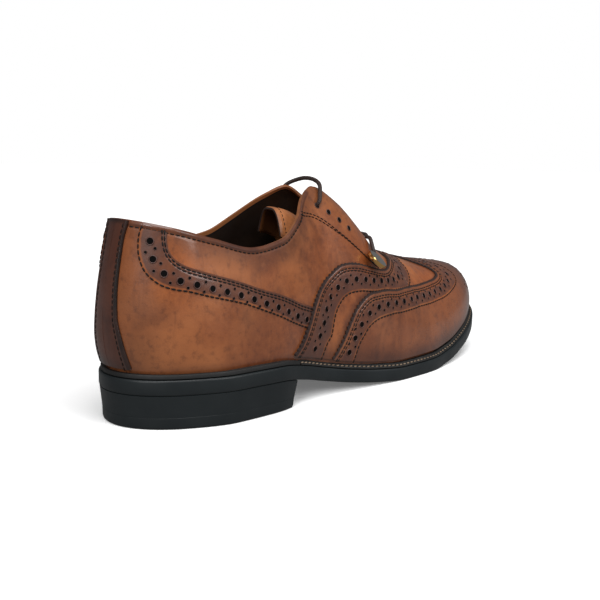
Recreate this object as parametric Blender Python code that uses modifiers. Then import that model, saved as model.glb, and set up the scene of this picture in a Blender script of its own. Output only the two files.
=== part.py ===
"""Wingtip brogue, right shoe: a closed-lacing leather shoe on a black welted sole.

The shoe stands on z = 0 with its toe towards +X and its outer (lateral) side
towards -Y. Working sizes are millimetres measured from the heel's rear; the
meshes are written in metres, centred under the shoe's own length and width.
"""
import math

import bmesh
import bpy
import numpy as np

MM = 0.001

# Main sizes of the shoe
SOLE_LENGTH = 300.0
REAR_ROUND = 46.0
TOE_ROUND = 64.0
SOLE_THICK = 7.4
HEEL_LENGTH = 88.0
HEEL_TAPER = 1.4
BREAST_LEAN = 2.6
WELT_THICK = 2.7
WELT_SET_IN = 0.9
WELT_START = 92.0
RAND_THICK = 2.3
RAND_SET_IN = 1.0
RAND_END = 90.5
JOINT_GAP = 0.3

# Upper
WALL = 2.0
FEATHER_REAR = 4.5
FEATHER_TOE = 293.6
SEAT_GAP = 0.4
COLLAR_REAR = 5.5
COLLAR_ROUND = 26.0
THROAT_END = 188.0
THROAT_ROUND = 7.0
OVERLAY_LIFT = 0.45
VAMP_LIFT = 0.62
VAMP_THICK = 0.9
CAP_THICK = 2.1
BAND_THICK = 0.7
STRIP_THICK = 0.9
OVERLAY_FOOT = 4.7

# Inside
INSOLE_THICK = 2.4
INSOLE_INSET = 2.9
INSOLE_LIFT = 0.8
TONGUE_THICK = 2.0

# Lacing
LACE_RADIUS = 1.15
DISC_RADIUS = 6.3
DISC_THICK = 2.8
DISC_FACING = (0.32, -0.60, 0.73)

# Centre of the shoe's box, in the working sizes
BOX_CENTRE_X = 148.574
BOX_CENTRE_Y = 5.269

# x along the sole, centre line, half width, height of the underside
SOLE_ROWS = (
    (0.0, 2.0, 34.0, 16.7),
    (25.0, 1.0, 35.5, 16.7),
    (50.0, -1.6, 37.6, 16.7),
    (75.0, -3.2, 37.2, 16.2),
    (97.0, -3.4, 33.4, 12.4),
    (112.0, -3.5, 32.4, 8.8),
    (132.0, -3.4, 34.6, 4.8),
    (155.0, -1.9, 39.5, 1.6),
    (176.0, 1.2, 44.6, 0.0),
    (206.0, 5.2, 48.0, 0.0),
    (225.0, 7.1, 47.0, 2.0),
    (245.0, 7.6, 43.8, 6.6),
    (270.0, 7.6, 40.4, 13.4),
    (300.0, 7.0, 37.0, 21.0),
)

# A row per section of the upper: x where it meets the sole, x and z of its top,
# half gap and centre of its top, belly, arch (0 wall to 1 vault), fullness, inset from the sole
UPPER_ROWS = (
    (4.5, 5.5, 98.0, 24.0, 0.0, 6.4, 0.0, 2.0, 4.5),
    (20.0, 19.0, 94.6, 25.2, 0.0, 5.2, 0.0, 2.0, 4.5),
    (45.0, 41.0, 88.6, 27.0, 0.0, 4.4, 0.0, 2.0, 4.5),
    (70.0, 64.0, 83.2, 29.4, 0.0, 4.0, 0.05, 2.0, 4.5),
    (92.0, 84.0, 86.0, 29.0, 0.0, 3.8, 0.15, 1.9, 4.2),
    (108.0, 100.0, 95.0, 24.6, 0.0, 3.4, 0.40, 1.8, 3.8),
    (120.0, 114.0, 105.8, 15.2, 0.2, 3.0, 0.65, 1.7, 3.6),
    (131.0, 126.0, 111.0, 10.0, 0.4, 2.8, 0.85, 1.7, 3.6),
    (146.0, 143.0, 103.4, 8.8, 0.8, 2.6, 1.0, 1.75, 3.8),
    (160.0, 158.0, 92.4, 7.4, 1.4, 2.4, 1.0, 1.8, 4.2),
    (175.0, 172.0, 79.6, 6.2, 2.2, 2.2, 1.0, 1.85, 4.6),
    (192.0, 188.0, 71.4, 5.0, 3.2, 2.0, 1.0, 1.95, 5.0),
    (210.0, 203.0, 67.0, 5.0, 4.4, 2.0, 1.0, 2.0, 5.4),
    (235.0, 223.0, 61.2, 5.0, 6.0, 2.0, 1.0, 2.1, 5.8),
    (258.0, 241.0, 58.6, 5.0, 7.0, 2.0, 1.0, 2.25, 6.2),
    (278.0, 256.0, 56.8, 5.0, 7.4, 2.2, 1.0, 2.4, 6.4),
    (293.6, 266.0, 54.8, 5.0, 7.4, 2.2, 1.0, 2.45, 6.4),
)

# Rear edge of the vamp: share of the section's height, x at the sole
VAMP_EDGE = (
    (0.0, 88.0), (0.10, 94.0), (0.22, 100.0), (0.30, 104.0), (0.36, 108.0),
    (0.395, 113.0), (0.41, 126.0), (0.42, 140.0), (0.435, 152.0), (0.475, 165.0),
    (0.56, 176.0), (0.66, 184.0), (0.78, 192.0), (0.90, 199.0), (1.0, 203.0),
)

# Rear edge of the wing cap: share of the section's height, x at the sole
CAP_EDGE = (
    (0.0, 119.0), (0.09, 126.0), (0.16, 131.0), (0.22, 136.0), (0.26, 141.0),
    (0.295, 147.0), (0.32, 154.0), (0.369, 168.0), (0.428, 186.0), (0.455, 202.0),
    (0.484, 217.0), (0.516, 230.0), (0.56, 239.5), (0.62, 242.0), (0.70, 240.0),
    (0.80, 233.5), (0.90, 227.0), (1.0, 222.5),
)

# Counter band: lower edge x and height share, upper edge x and height share
BAND_ROWS = (
    (9.5, 1.0, 19.5, 1.0),
    (8.6, 0.86, 18.8, 0.89),
    (8.8, 0.76, 19.4, 0.82),
    (10.6, 0.66, 22.4, 0.765),
    (14.6, 0.595, 27.0, 0.735),
    (20.0, 0.568, 34.0, 0.715),
    (28.0, 0.560, 42.0, 0.700),
    (37.0, 0.540, 51.0, 0.682),
    (47.0, 0.515, 61.0, 0.650),
    (59.0, 0.470, 71.0, 0.600),
    (72.0, 0.398, 81.0, 0.530),
    (83.0, 0.310, 91.0, 0.450),
    (93.0, 0.250, 99.0, 0.385),
)

# Half width of the back strip, by height share: x at the sole of its edge
STRIP_EDGE = ((0.0, 7.2), (0.18, 6.2), (0.35, 5.5), (0.6, 5.3), (0.85, 5.4), (1.0, 6.0))


def table(rows, column, x, key=0):
    """Smooth, overshoot-free curve through one column of a table."""
    xs = np.array([row[key] for row in rows], float)
    ys = np.array([row[column] for row in rows], float)
    x = np.clip(np.asarray(x, float), xs[0], xs[-1])
    h = np.diff(xs)
    d = np.diff(ys) / h
    m = np.zeros(len(xs))
    for i in range(1, len(xs) - 1):
        if d[i - 1] * d[i] > 0:
            w1 = 2 * h[i] + h[i - 1]
            w2 = h[i] + 2 * h[i - 1]
            m[i] = (w1 + w2) / (w1 / d[i - 1] + w2 / d[i])
    m[0] = d[0]
    m[-1] = d[-1]
    k = np.clip(np.searchsorted(xs, x, side="right") - 1, 0, len(xs) - 2)
    t = (x - xs[k]) / h[k]
    return ((2 * t ** 3 - 3 * t ** 2 + 1) * ys[k] + (t ** 3 - 2 * t ** 2 + t) * h[k] * m[k]
            + (-2 * t ** 3 + 3 * t ** 2) * ys[k + 1] + (t ** 3 - t ** 2) * h[k] * m[k + 1])


def rear_end(x, start, length):
    """Round closing factor at the rear, 0 at start and 1 from start + length."""
    u = np.clip((np.asarray(x, float) - start) / length, 0.0, 1.0)
    return np.sqrt(np.maximum(1.0 - (1.0 - u) ** 2, 0.0))


def toe_end(x, end, length):
    """Round closing factor at the front, 0 at end."""
    u = np.clip((end - np.asarray(x, float)) / length, 0.0, 1.0)
    return np.sqrt(np.maximum(1.0 - (1.0 - u) ** 2, 0.0))


def sole_edge(x, side, inset=0.0):
    """y of the sole's edge at x, on side -1 (lateral) or +1 (medial)."""
    centre = table(SOLE_ROWS, 1, x)
    half = table(SOLE_ROWS, 2, x) - inset
    ends = rear_end(x, inset, REAR_ROUND - inset)
    ends = ends * toe_end(x, SOLE_LENGTH - inset, TOE_ROUND - inset)
    return centre + side * half * ends


def sole_bottom(x):
    """Height of the sole's underside at x."""
    return table(SOLE_ROWS, 3, x)


def sole_top(x):
    """Height of the sole's upper face at x."""
    return sole_bottom(x) + SOLE_THICK


def feather_x(p):
    """x of the line where the upper meets the sole, for p from 0 (heel) to 1 (toe)."""
    span = FEATHER_TOE - FEATHER_REAR
    return FEATHER_REAR + span * (1.0 - np.cos(np.pi * np.asarray(p, float))) / 2.0


def feather_p(x):
    """Inverse of feather_x."""
    span = FEATHER_TOE - FEATHER_REAR
    c = 1.0 - 2.0 * (np.asarray(x, float) - FEATHER_REAR) / span
    return np.arccos(np.clip(c, -1.0, 1.0)) / np.pi


def feather_y(x, side):
    """y of the upper's lower edge at x."""
    half = table(SOLE_ROWS, 2, x) - table(UPPER_ROWS, 8, x)
    ends = rear_end(x, FEATHER_REAR, REAR_ROUND - FEATHER_REAR)
    ends = ends * toe_end(x, FEATHER_TOE, TOE_ROUND - 6.0)
    return table(SOLE_ROWS, 1, x) + side * half * ends


def feather_out(p, side):
    """Unit vector square to the feather line in plan, pointing out of the shoe."""
    step = 1e-4
    xa = feather_x(np.clip(p - step, 0.0, 1.0))
    xb = feather_x(np.clip(p + step, 0.0, 1.0))
    dx = xb - xa
    dy = feather_y(xb, side) - feather_y(xa, side)
    length = np.hypot(dx, dy)
    at_end = (np.asarray(p) <= 0.0) | (np.asarray(p) >= 1.0)
    nx = np.where(at_end, np.sign(np.asarray(p) - 0.5), -side * dy / length)
    ny = np.where(at_end, 0.0, side * dx / length)
    return nx, ny


def upper_point(p, v, side):
    """Point of the upper's outer face: p along the shoe, v up the section from 0 to 1."""
    p, v = np.broadcast_arrays(np.asarray(p, float), np.asarray(v, float))
    xf = feather_x(p)
    yf = feather_y(xf, side)
    zf = sole_top(xf) + SEAT_GAP
    tx = table(UPPER_ROWS, 1, xf)
    tz = table(UPPER_ROWS, 2, xf)
    half = table(UPPER_ROWS, 3, xf) * rear_end(tx, COLLAR_REAR, COLLAR_ROUND)
    half = half * np.where(tx < THROAT_END - 1e-6, toe_end(tx, THROAT_END, THROAT_ROUND), 0.0)
    ty = table(UPPER_ROWS, 4, xf) + side * half
    belly = table(UPPER_ROWS, 5, xf) * np.sin(np.pi * v ** 0.72)
    arch = table(UPPER_ROWS, 6, xf)
    power = table(UPPER_ROWS, 7, xf)
    angle = v * np.pi / 2.0
    across = (1 - arch) * v + arch * (1 - np.maximum(np.cos(angle), 0.0) ** (2.0 / power))
    rise = (1 - arch) * v + arch * np.sin(angle) ** (2.0 / power)
    nx, ny = feather_out(p, side)
    x = xf + (tx - xf) * across + nx * belly
    y = yf + (ty - yf) * across + ny * belly
    z = zf + (tz - zf) * rise
    return np.stack([x, y, z], -1)


def upper_normal(p, v, side):
    """Outward unit normal of the upper."""
    step = 1e-4
    p, v = np.broadcast_arrays(np.asarray(p, float), np.asarray(v, float))
    a = (upper_point(np.clip(p + step, 0, 1), v, side)
         - upper_point(np.clip(p - step, 0, 1), v, side))
    b = (upper_point(p, np.clip(v + step, 1e-5, 1), side)
         - upper_point(p, np.clip(v - step, 1e-5, 1), side))
    n = np.cross(a, b) * -side
    return n / np.maximum(np.linalg.norm(n, axis=-1, keepdims=True), 1e-12)


def lifted(p, v, side, lift):
    """Point a little outside (or, with a minus, inside) the upper's outer face."""
    point = upper_point(p, v, side)
    normal = upper_normal(p, v, side)
    joined = np.linalg.norm(point - upper_point(p, v, -side), axis=-1, keepdims=True) < 1e-5
    both = normal + upper_normal(p, v, -side)
    both = both / np.maximum(np.linalg.norm(both, axis=-1, keepdims=True), 1e-9)
    return point + np.where(joined, both, normal) * lift


def share_at_height(p, side, rise):
    """v at which the section at p stands rise mm above its foot."""
    v = np.linspace(0.0, 0.5, 120)
    out = []
    for one in np.atleast_1d(p):
        z = upper_point(np.full(v.shape, one), v, side)[:, 2]
        out.append(np.interp(rise, z - z[0], v))
    return np.array(out)


def overlay_v(p, w, side):
    """v for height share w, counted from the overlays' foot just above the welt."""
    foot = share_at_height(p, side, OVERLAY_FOOT)
    return foot + (1.0 - foot) * w


# Scene helpers
def clear_scene():
    for obj in list(bpy.data.objects):
        bpy.data.objects.remove(obj, do_unlink=True)


def make_collection(name):
    group = bpy.data.collections.new(name)
    bpy.context.scene.collection.children.link(group)
    return group


def make_material(name, color, roughness, metallic=0.0, coat=0.0):
    material = bpy.data.materials.new(name)
    material.use_nodes = True
    shader = material.node_tree.nodes["Principled BSDF"]
    shader.inputs["Base Color"].default_value = (*color, 1.0)
    shader.inputs["Roughness"].default_value = roughness
    shader.inputs["Metallic"].default_value = metallic
    shader.inputs["Coat Weight"].default_value = coat
    material.diffuse_color = (*color, 1.0)
    return material


def to_world(points):
    """Working millimetres to world metres."""
    shift = np.array([BOX_CENTRE_X, BOX_CENTRE_Y, 0.0])
    return (np.asarray(points, float).reshape(-1, 3) - shift) * MM


def add_mesh(name, points, faces, material, group):
    """Mesh object with its doubled seam points merged and its faces turned outwards."""
    mesh = bpy.data.meshes.new(name)
    mesh.from_pydata([tuple(p) for p in to_world(points)], [], faces)
    work = bmesh.new()
    work.from_mesh(mesh)
    bmesh.ops.remove_doubles(work, verts=work.verts, dist=0.000002)
    bmesh.ops.dissolve_degenerate(work, edges=work.edges, dist=0.000001)
    bmesh.ops.recalc_face_normals(work, faces=work.faces)
    closed = not any(edge.is_boundary for edge in work.edges)
    if closed and work.calc_volume(signed=True) < 0.0:
        bmesh.ops.reverse_faces(work, faces=work.faces)
    work.to_mesh(mesh)
    work.free()
    for poly in mesh.polygons:
        poly.use_smooth = True
    mesh.materials.append(material)
    obj = bpy.data.objects.new(name, mesh)
    group.objects.link(obj)
    return obj


def add_solidify(obj, thickness, outwards):
    """Give a sheet its thickness, outwards or inwards from its face."""
    solid = obj.modifiers.new("thickness", "SOLIDIFY")
    solid.thickness = thickness * MM
    solid.offset = 1.0 if outwards else -1.0
    solid.use_rim = True
    solid.use_even_offset = False
    return solid


def orient_sheet(obj, inside):
    """Turn a sheet's faces away from a point inside the shoe."""
    mesh = obj.data
    point = to_world([inside])[0]
    total = 0.0
    for poly in mesh.polygons:
        centre = np.array(poly.center)
        total += float(np.dot(np.array(poly.normal), centre - point)) * poly.area
    if total < 0.0:
        mesh.flip_normals()


def grid_faces(rows, columns, start=0, wrap=False, flip=False):
    """Quads of a rows x columns grid of points."""
    faces = []
    last = columns if wrap else columns - 1
    for i in range(rows - 1):
        for j in range(last):
            k = (j + 1) % columns
            quad = (start + i * columns + j, start + i * columns + k,
                    start + (i + 1) * columns + k, start + (i + 1) * columns + j)
            faces.append(tuple(reversed(quad)) if flip else quad)
    return faces


def both_sides(point_grid):
    """Points and faces of a sheet given by a function of side, near and far halves."""
    near = point_grid(-1)
    far = point_grid(1)
    rows, columns = near.shape[:2]
    points = np.vstack([near.reshape(-1, 3), far.reshape(-1, 3)])
    faces = grid_faces(rows, columns)
    faces += grid_faces(rows, columns, rows * columns, flip=True)
    return points, faces


# Sole pieces
def sole_stations(x0, x1, count):
    t = np.linspace(0.0, 1.0, count)
    return x0 + (x1 - x0) * (1.0 - np.cos(np.pi * t)) / 2.0


def build_outsole(material, group):
    """Full-length sole layer with a rounded tread edge and a soft top edge."""
    levels = []
    base = sole_stations(0.0, SOLE_LENGTH, 64)
    for inset, share, cut in ((2.2, 0.0, 0.0), (0.8, 0.0, 0.7), (0.1, 0.0, 2.2),
                              (0.0, 1.0, -0.9), (0.5, 1.0, 0.0)):
        x = inset + (SOLE_LENGTH - 2 * inset) * base / SOLE_LENGTH
        z = sole_bottom(base) + share * SOLE_THICK + cut
        levels.append((x, sole_edge(x, -1, inset), sole_edge(x, 1, inset), z))
    rings = []
    for x, near, far, z in levels:
        ring = [(a, b, c) for a, b, c in zip(x, near, z)]
        ring += [(a, b, c) for a, b, c in zip(x[::-1], far[::-1], z[::-1])]
        rings.append(ring)
    count = len(rings[0])
    half = count // 2
    points = np.array(rings).reshape(-1, 3)
    faces = grid_faces(len(rings), count, wrap=True)
    for level in (0, len(rings) - 1):
        start = level * count
        for i in range(half - 1):
            faces.append((start + i, start + i + 1, start + count - 2 - i, start + count - 1 - i))
    return add_mesh("outsole", points, faces, material, group)


def build_heel(material, group):
    """Moulded heel block under the sole layer, with a flat breast."""
    t = np.linspace(0.0, 1.0, 30)
    rings = []
    top_share = 1.0
    for inset, share, lean in ((HEEL_TAPER + 1.0, 0.0, 0.0), (HEEL_TAPER, 0.06, 0.1),
                               (0.5, 0.93, 0.95), (0.35, top_share, 1.0)):
        end = HEEL_LENGTH - BREAST_LEAN * (1.0 - lean)
        x = inset + (end - inset) * (1.0 - np.cos(np.pi * t / 2.0))
        top = sole_bottom(x) - JOINT_GAP
        z = top * share
        near = sole_edge(x, -1, inset)
        far = sole_edge(x, 1, inset)
        ring = list(zip(x, near, z)) + list(zip(x[::-1], far[::-1], z[::-1]))
        rings.append(ring)
    count = len(rings[0])
    half = count // 2
    points = np.array(rings).reshape(-1, 3)
    faces = grid_faces(len(rings), count, wrap=True)
    for level in (0, len(rings) - 1):
        start = level * count
        for i in range(half - 1):
            faces.append((start + i, start + i + 1, start + count - 2 - i, start + count - 1 - i))
    return add_mesh("heel", points, faces, material, group)


def edge_reach(p, side, set_in):
    """Distance from the feather line out to the sole's edge less set_in."""
    x = sole_stations(0.0, SOLE_LENGTH, 700)
    line = np.vstack([np.stack([x, sole_edge(x, -1)], 1), np.stack([x, sole_edge(x, 1)], 1)])
    xf = feather_x(p)
    foot = np.stack([xf, feather_y(xf, side)], -1)
    gaps = np.hypot(foot[:, None, 0] - line[None, :, 0], foot[:, None, 1] - line[None, :, 1])
    return gaps.min(axis=1) - set_in


def edging(name, path, set_in, thick, material, group):
    """Strip laid on the sole beside the upper's foot, along (p, side) stations."""
    rings = []
    for p, side in path:
        one = np.array([p])
        nx, ny = feather_out(one, side)
        out = np.array([float(nx[0]), float(ny[0])])
        xf = float(feather_x(p))
        foot = np.array([xf, float(feather_y(xf, side))])
        reach = float(edge_reach(one, side, set_in)[0])
        rim_v = share_at_height(one, side, thick + 0.3)
        rim = upper_point(one, rim_v, side)[0]
        clear = max(float((rim[0] - foot[0]) * out[0] + (rim[1] - foot[1]) * out[1]), 0.0) + 0.38
        corners = ((clear, 0.0), (reach - 0.3, 0.0), (reach, 0.3),
                   (reach, thick - 0.5), (reach - 0.5, thick), (clear, thick))
        ring = []
        for out_by, rise in corners:
            x = foot[0] + out[0] * out_by
            ring.append((x, foot[1] + out[1] * out_by, float(sole_top(x)) + JOINT_GAP + rise))
        rings.append(ring)
    count = len(rings[0])
    points = np.array(rings).reshape(-1, 3)
    faces = grid_faces(len(rings), count, wrap=True)
    faces.append(tuple(range(count)))
    start = (len(rings) - 1) * count
    faces.append(tuple(start + k for k in range(count)))
    return add_mesh(name, points, faces, material, group)


def build_welt(material, group):
    """Stitched welt round the forefoot, ending beside the heel breast on both sides."""
    first = float(feather_p(WELT_START))
    ps = np.linspace(first, 1.0, 30)
    path = [(p, -1) for p in ps] + [(p, 1) for p in ps[::-1][1:]]
    return edging("welt", path, WELT_SET_IN, WELT_THICK, material, group)


def build_rand(material, group):
    """Narrow rand round the heel seat, set in from the rim."""
    last = float(feather_p(RAND_END))
    ps = np.linspace(0.0, last, 16)
    path = [(p, -1) for p in ps[::-1]] + [(p, 1) for p in ps[1:]]
    return edging("heel_rand", path, RAND_SET_IN, RAND_THICK, material, group)


# Upper and its overlays
def section_places(count):
    """Stations along the shoe, with one exactly at the throat's end."""
    throat_x = float(np.interp(THROAT_END, [row[1] for row in UPPER_ROWS],
                               [row[0] for row in UPPER_ROWS]))
    throat = float(feather_p(throat_x))
    places = np.linspace(0.0, 1.0, count)
    near = int(np.argmin(np.abs(places - throat)))
    places[near] = throat
    places = np.append(places, [throat - 0.006, throat - 0.016])
    return np.sort(places), throat


def build_upper(material, group):
    """Hollow upper, open at the collar and throat and underneath."""
    places, throat = section_places(42)
    shares = np.array([0, 0.05, 0.12, 0.2, 0.29, 0.38, 0.48, 0.58, 0.68, 0.77, 0.85, 0.92, 0.965, 1.0])

    def half(side):
        p, v = np.meshgrid(places, shares, indexing="ij")
        return upper_point(p, v, side)

    points, faces = both_sides(half)
    obj = add_mesh("upper", points, faces, material, group)
    orient_sheet(obj, (150.0, 2.0, 45.0))
    add_solidify(obj, WALL, outwards=False)
    return obj


def overlay(name, region, lift, thick, material, group, inside=(150.0, 2.0, 45.0)):
    """Sheet on the upper from a function side -> (p grid, v grid), thickened outwards."""
    def half(side):
        p, v = region(side)
        return lifted(p, v, side, lift)

    points, faces = both_sides(half)
    obj = add_mesh(name, points, faces, material, group)
    orient_sheet(obj, inside)
    add_solidify(obj, thick, outwards=True)
    return obj


def region_between(rear, front, shares, columns):
    """Grid of (p, v) between two edge curves given as functions of the height share."""
    def region(side):
        p_rows = []
        v_rows = []
        for w in shares:
            a = float(rear(w))
            b = float(front(w))
            p = a + (b - a) * np.linspace(0.0, 1.0, columns)
            p_rows.append(p)
            v_rows.append(overlay_v(p, w, side))
        return np.array(p_rows), np.array(v_rows)
    return region


def vamp_edge_p(w):
    return feather_p(table(VAMP_EDGE, 1, w))


def cap_edge_p(w):
    return feather_p(table(CAP_EDGE, 1, w))


EDGE_SHARES = np.array([0.0, 0.05, 0.10, 0.16, 0.22, 0.27, 0.32, 0.36, 0.38, 0.395, 0.402, 0.41,
                        0.415, 0.42, 0.427, 0.435, 0.455, 0.475, 0.505, 0.54, 0.58, 0.62, 0.66,
                        0.72, 0.79, 0.86, 0.93, 1.0])
CAP_SHARES = np.array([0.0, 0.05, 0.10, 0.15, 0.20, 0.245, 0.285, 0.32, 0.36, 0.40, 0.43, 0.455,
                       0.485, 0.516, 0.55, 0.585, 0.62, 0.67, 0.73, 0.80, 0.87, 0.94, 1.0])


def build_vamp(material, group):
    """Vamp laid over the quarters, from its pinked rear edge to the wing cap."""
    def front(w):
        beside = [float(table(CAP_EDGE, 1, w + dw)) for dw in (-0.014, -0.007, 0.0, 0.007, 0.014)]
        return feather_p(min(beside) - 0.6)

    region = region_between(vamp_edge_p, front, EDGE_SHARES, 14)
    return overlay("vamp", region, VAMP_LIFT, VAMP_THICK, material, group, (200.0, 4.0, 30.0))


def build_cap(material, group):
    """Wing cap over the toe, a step higher than the vamp."""
    region = region_between(cap_edge_p, lambda w: 1.0, CAP_SHARES, 16)
    return overlay("wing_cap", region, OVERLAY_LIFT, CAP_THICK, material, group, (235.0, 6.0, 35.0))


def build_band(name, side, material, group):
    """Curved counter band from the collar forward to the vamp."""
    s = np.linspace(0.0, len(BAND_ROWS) - 1.0, 34)
    index = tuple((float(i), *row) for i, row in enumerate(BAND_ROWS))
    low_x, low_w = table(index, 1, s), table(index, 2, s)
    top_x, top_w = table(index, 3, s), table(index, 4, s)
    rows = []
    for t in np.linspace(0.0, 1.0, 4):
        x = low_x + (top_x - low_x) * t
        w = low_w + (top_w - low_w) * t
        p = feather_p(x)
        v = np.minimum(overlay_v(p, w, side), 0.995)
        rows.append(lifted(p, v, side, OVERLAY_LIFT))
    grid = np.array(rows)
    faces = grid_faces(grid.shape[0], grid.shape[1])
    obj = add_mesh(name, grid.reshape(-1, 3), faces, material, group)
    orient_sheet(obj, (60.0, 0.0, 60.0))
    add_solidify(obj, BAND_THICK, outwards=True)
    return obj


def build_back_strip(material, group):
    """Back strip over the rear seam."""
    shares = np.linspace(0.0, 0.985, 15)

    def region(side):
        p_rows = []
        v_rows = []
        for w in shares:
            p = float(feather_p(table(STRIP_EDGE, 1, w))) * np.linspace(0.0, 1.0, 5)
            p_rows.append(p)
            v_rows.append(overlay_v(p, w, side))
        return np.array(p_rows), np.array(v_rows)

    return overlay("back_strip", region, OVERLAY_LIFT, STRIP_THICK, material, group,
                   (40.0, 0.0, 60.0))


# Inside pieces
def build_insole(material, group):
    """Insole board lying on the sole inside the upper."""
    ps = np.linspace(0.0, 1.0, 44)
    near = []
    far = []
    for line, side in ((near, -1), (far, 1)):
        nx, ny = feather_out(ps, side)
        x = feather_x(ps)
        y = feather_y(x, side)
        line.extend(zip(x - nx * INSOLE_INSET, y - ny * INSOLE_INSET))
    height = sole_top(feather_x(ps)) + INSOLE_LIFT
    rings = []
    for rise in (0.0, INSOLE_THICK):
        ring = [(a[0], a[1], z + rise) for a, z in zip(near, height)]
        ring += [(a[0], a[1], z + rise) for a, z in zip(far[::-1], height[::-1])]
        rings.append(ring)
    count = len(rings[0])
    half = count // 2
    points = np.array(rings).reshape(-1, 3)
    faces = grid_faces(2, count, wrap=True)
    for start in (0, count):
        for i in range(half - 1):
            faces.append((start + i, start + i + 1, start + count - 2 - i, start + count - 1 - i))
    return add_mesh("insole", points, faces, material, group)


# Tongue: x, centre line, height of its crest, half width, fall of its edges, skew
TONGUE_ROWS = (
    (97.0, -1.0, 100.0, 15.0, 14.5, 0.38),
    (100.0, -0.8, 99.6, 15.8, 15.0, 0.38),
    (108.0, 0.0, 98.0, 17.0, 15.0, 0.34),
    (118.0, 1.2, 94.3, 17.7, 14.0, 0.25),
    (126.0, 1.8, 90.5, 18.3, 13.5, 0.16),
    (143.0, 2.0, 85.3, 20.0, 12.5, 0.0),
    (158.0, 2.2, 80.0, 18.0, 10.0, 0.0),
    (172.0, 2.4, 74.9, 13.2, 6.0, 0.0),
    (184.0, 3.0, 70.0, 9.4, 3.5, 0.0),
    (198.0, 4.0, 65.8, 7.4, 2.2, 0.0),
)


def build_tongue(material, group):
    """Tongue arched under the facings, its free end standing a little below their top."""
    lines = []
    for x in np.r_[97.0, 98.2, np.linspace(100.0, 198.0, 24)]:
        share = np.linspace(-1.0, 1.0, 15)
        y = table(TONGUE_ROWS, 1, x) + table(TONGUE_ROWS, 3, x) * share
        z = table(TONGUE_ROWS, 2, x) - table(TONGUE_ROWS, 4, x) * np.abs(share) ** 3.3
        lines.append(np.stack([x + table(TONGUE_ROWS, 5, x) * (y - y[0]), y, z], 1))
    grid = np.array(lines)
    faces = grid_faces(grid.shape[0], grid.shape[1])
    obj = add_mesh("tongue", grid.reshape(-1, 3), faces, material, group)
    orient_sheet(obj, (150.0, 2.0, 30.0))
    add_solidify(obj, TONGUE_THICK, outwards=False)
    return obj


# Lower lace: x at the sole, height share, side, lift beyond resting on the leather
LOWER_LACE = (
    (160.5, 0.550, -1, -0.4),
    (161.0, 0.610, -1, 0.0),
    (167.0, 0.730, -1, 0.0),
    (174.0, 0.860, -1, 0.6),
    (179.0, 0.960, -1, 2.9),
    (180.0, 0.970, 1, 3.8),
    (179.0, 0.900, 1, 1.4),
    (177.0, 0.800, 1, 0.0),
)


def lace_point(x, w, side, lift):
    p = np.array([float(feather_p(x))])
    return lifted(p, overlay_v(p, w, side), side, lift)[0]


def add_cord(name, points, radius, material, group, closed=False):
    """Round cord along a line of points."""
    curve = bpy.data.curves.new(name, "CURVE")
    curve.dimensions = "3D"
    curve.bevel_depth = radius * MM
    curve.bevel_resolution = 2
    curve.use_fill_caps = True
    spline = curve.splines.new("POLY")
    world = to_world(points)
    spline.points.add(len(world) - 1)
    for slot, point in zip(spline.points, world):
        slot.co = (*point, 1.0)
    spline.use_cyclic_u = closed
    curve.materials.append(material)
    obj = bpy.data.objects.new(name, curve)
    group.objects.link(obj)
    return obj


def smooth_path(points, count):
    """Catmull-Rom line through points, evenly sampled."""
    pts = np.asarray(points, float)
    ext = np.vstack([2 * pts[0] - pts[1], pts, 2 * pts[-1] - pts[-2]])
    out = []
    for i in range(1, len(ext) - 2):
        for t in np.linspace(0.0, 1.0, 12, endpoint=False):
            a, b, c, d = ext[i - 1], ext[i], ext[i + 1], ext[i + 2]
            out.append(0.5 * ((2 * b) + (c - a) * t + (2 * a - 5 * b + 4 * c - d) * t ** 2
                              + (3 * b - a - 3 * c + d) * t ** 3))
    out.append(ext[-2])
    out = np.array(out)
    run = np.r_[0.0, np.cumsum(np.linalg.norm(np.diff(out, axis=0), axis=1))]
    at = np.linspace(0.0, run[-1], count)
    return np.stack([np.interp(at, run, out[:, k]) for k in range(3)], 1)


def build_laces(material, group):
    """Lace through the top pair of eyelets, and one strand from under the ornament."""
    lift = LACE_RADIUS + 0.9
    top = [lace_point(126.5, 0.79, -1, lift), np.array([125.5, -16.6, 106.3]),
           np.array([130.0, -12.2, 111.2]), np.array([131.5, -7.0, 113.8]),
           np.array([132.5, 0.0, 114.6]), np.array([133.0, 7.0, 113.6]),
           lace_point(135.0, 0.93, 1, lift + 0.55), lace_point(133.0, 0.83, 1, lift)]
    add_cord("lace_top", smooth_path(top, 34), LACE_RADIUS, material, group)
    low = [lace_point(x, w, side, lift + more) for x, w, side, more in LOWER_LACE]
    add_cord("lace_bottom", smooth_path(low, 40), LACE_RADIUS, material, group)


def disc_centre():
    """Centre of the round ornament, lying on the lateral facing beside the throat's foot."""
    return lace_point(155.5, 0.483, -1, 4.8)


def build_disc(material, group):
    """Plain round ornament at the foot of the throat."""
    bpy.ops.mesh.primitive_cylinder_add(vertices=40, radius=DISC_RADIUS * MM,
                                        depth=DISC_THICK * MM, location=(0.0, 0.0, 0.0))
    obj = bpy.context.active_object
    obj.name = "lace_disc"
    obj.data.name = "lace_disc"
    centre = disc_centre()
    out = np.array(DISC_FACING) / np.linalg.norm(DISC_FACING)
    along = np.cross((0.0, 1.0, 0.0), out)
    along = along / np.linalg.norm(along)
    rot = np.stack([along, np.cross(out, along), out], 1)
    base = to_world([centre])[0]
    for vert in obj.data.vertices:
        vert.co = tuple(rot @ np.array(vert.co) + base)
    bevel = obj.modifiers.new("edge", "BEVEL")
    bevel.width = 0.0005
    bevel.segments = 2
    bevel.limit_method = "ANGLE"
    bevel.angle_limit = math.radians(50)
    for poly in obj.data.polygons:
        poly.use_smooth = True
    obj.data.materials.append(material)
    for home in list(obj.users_collection):
        home.objects.unlink(obj)
    group.objects.link(obj)
    return obj


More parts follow.
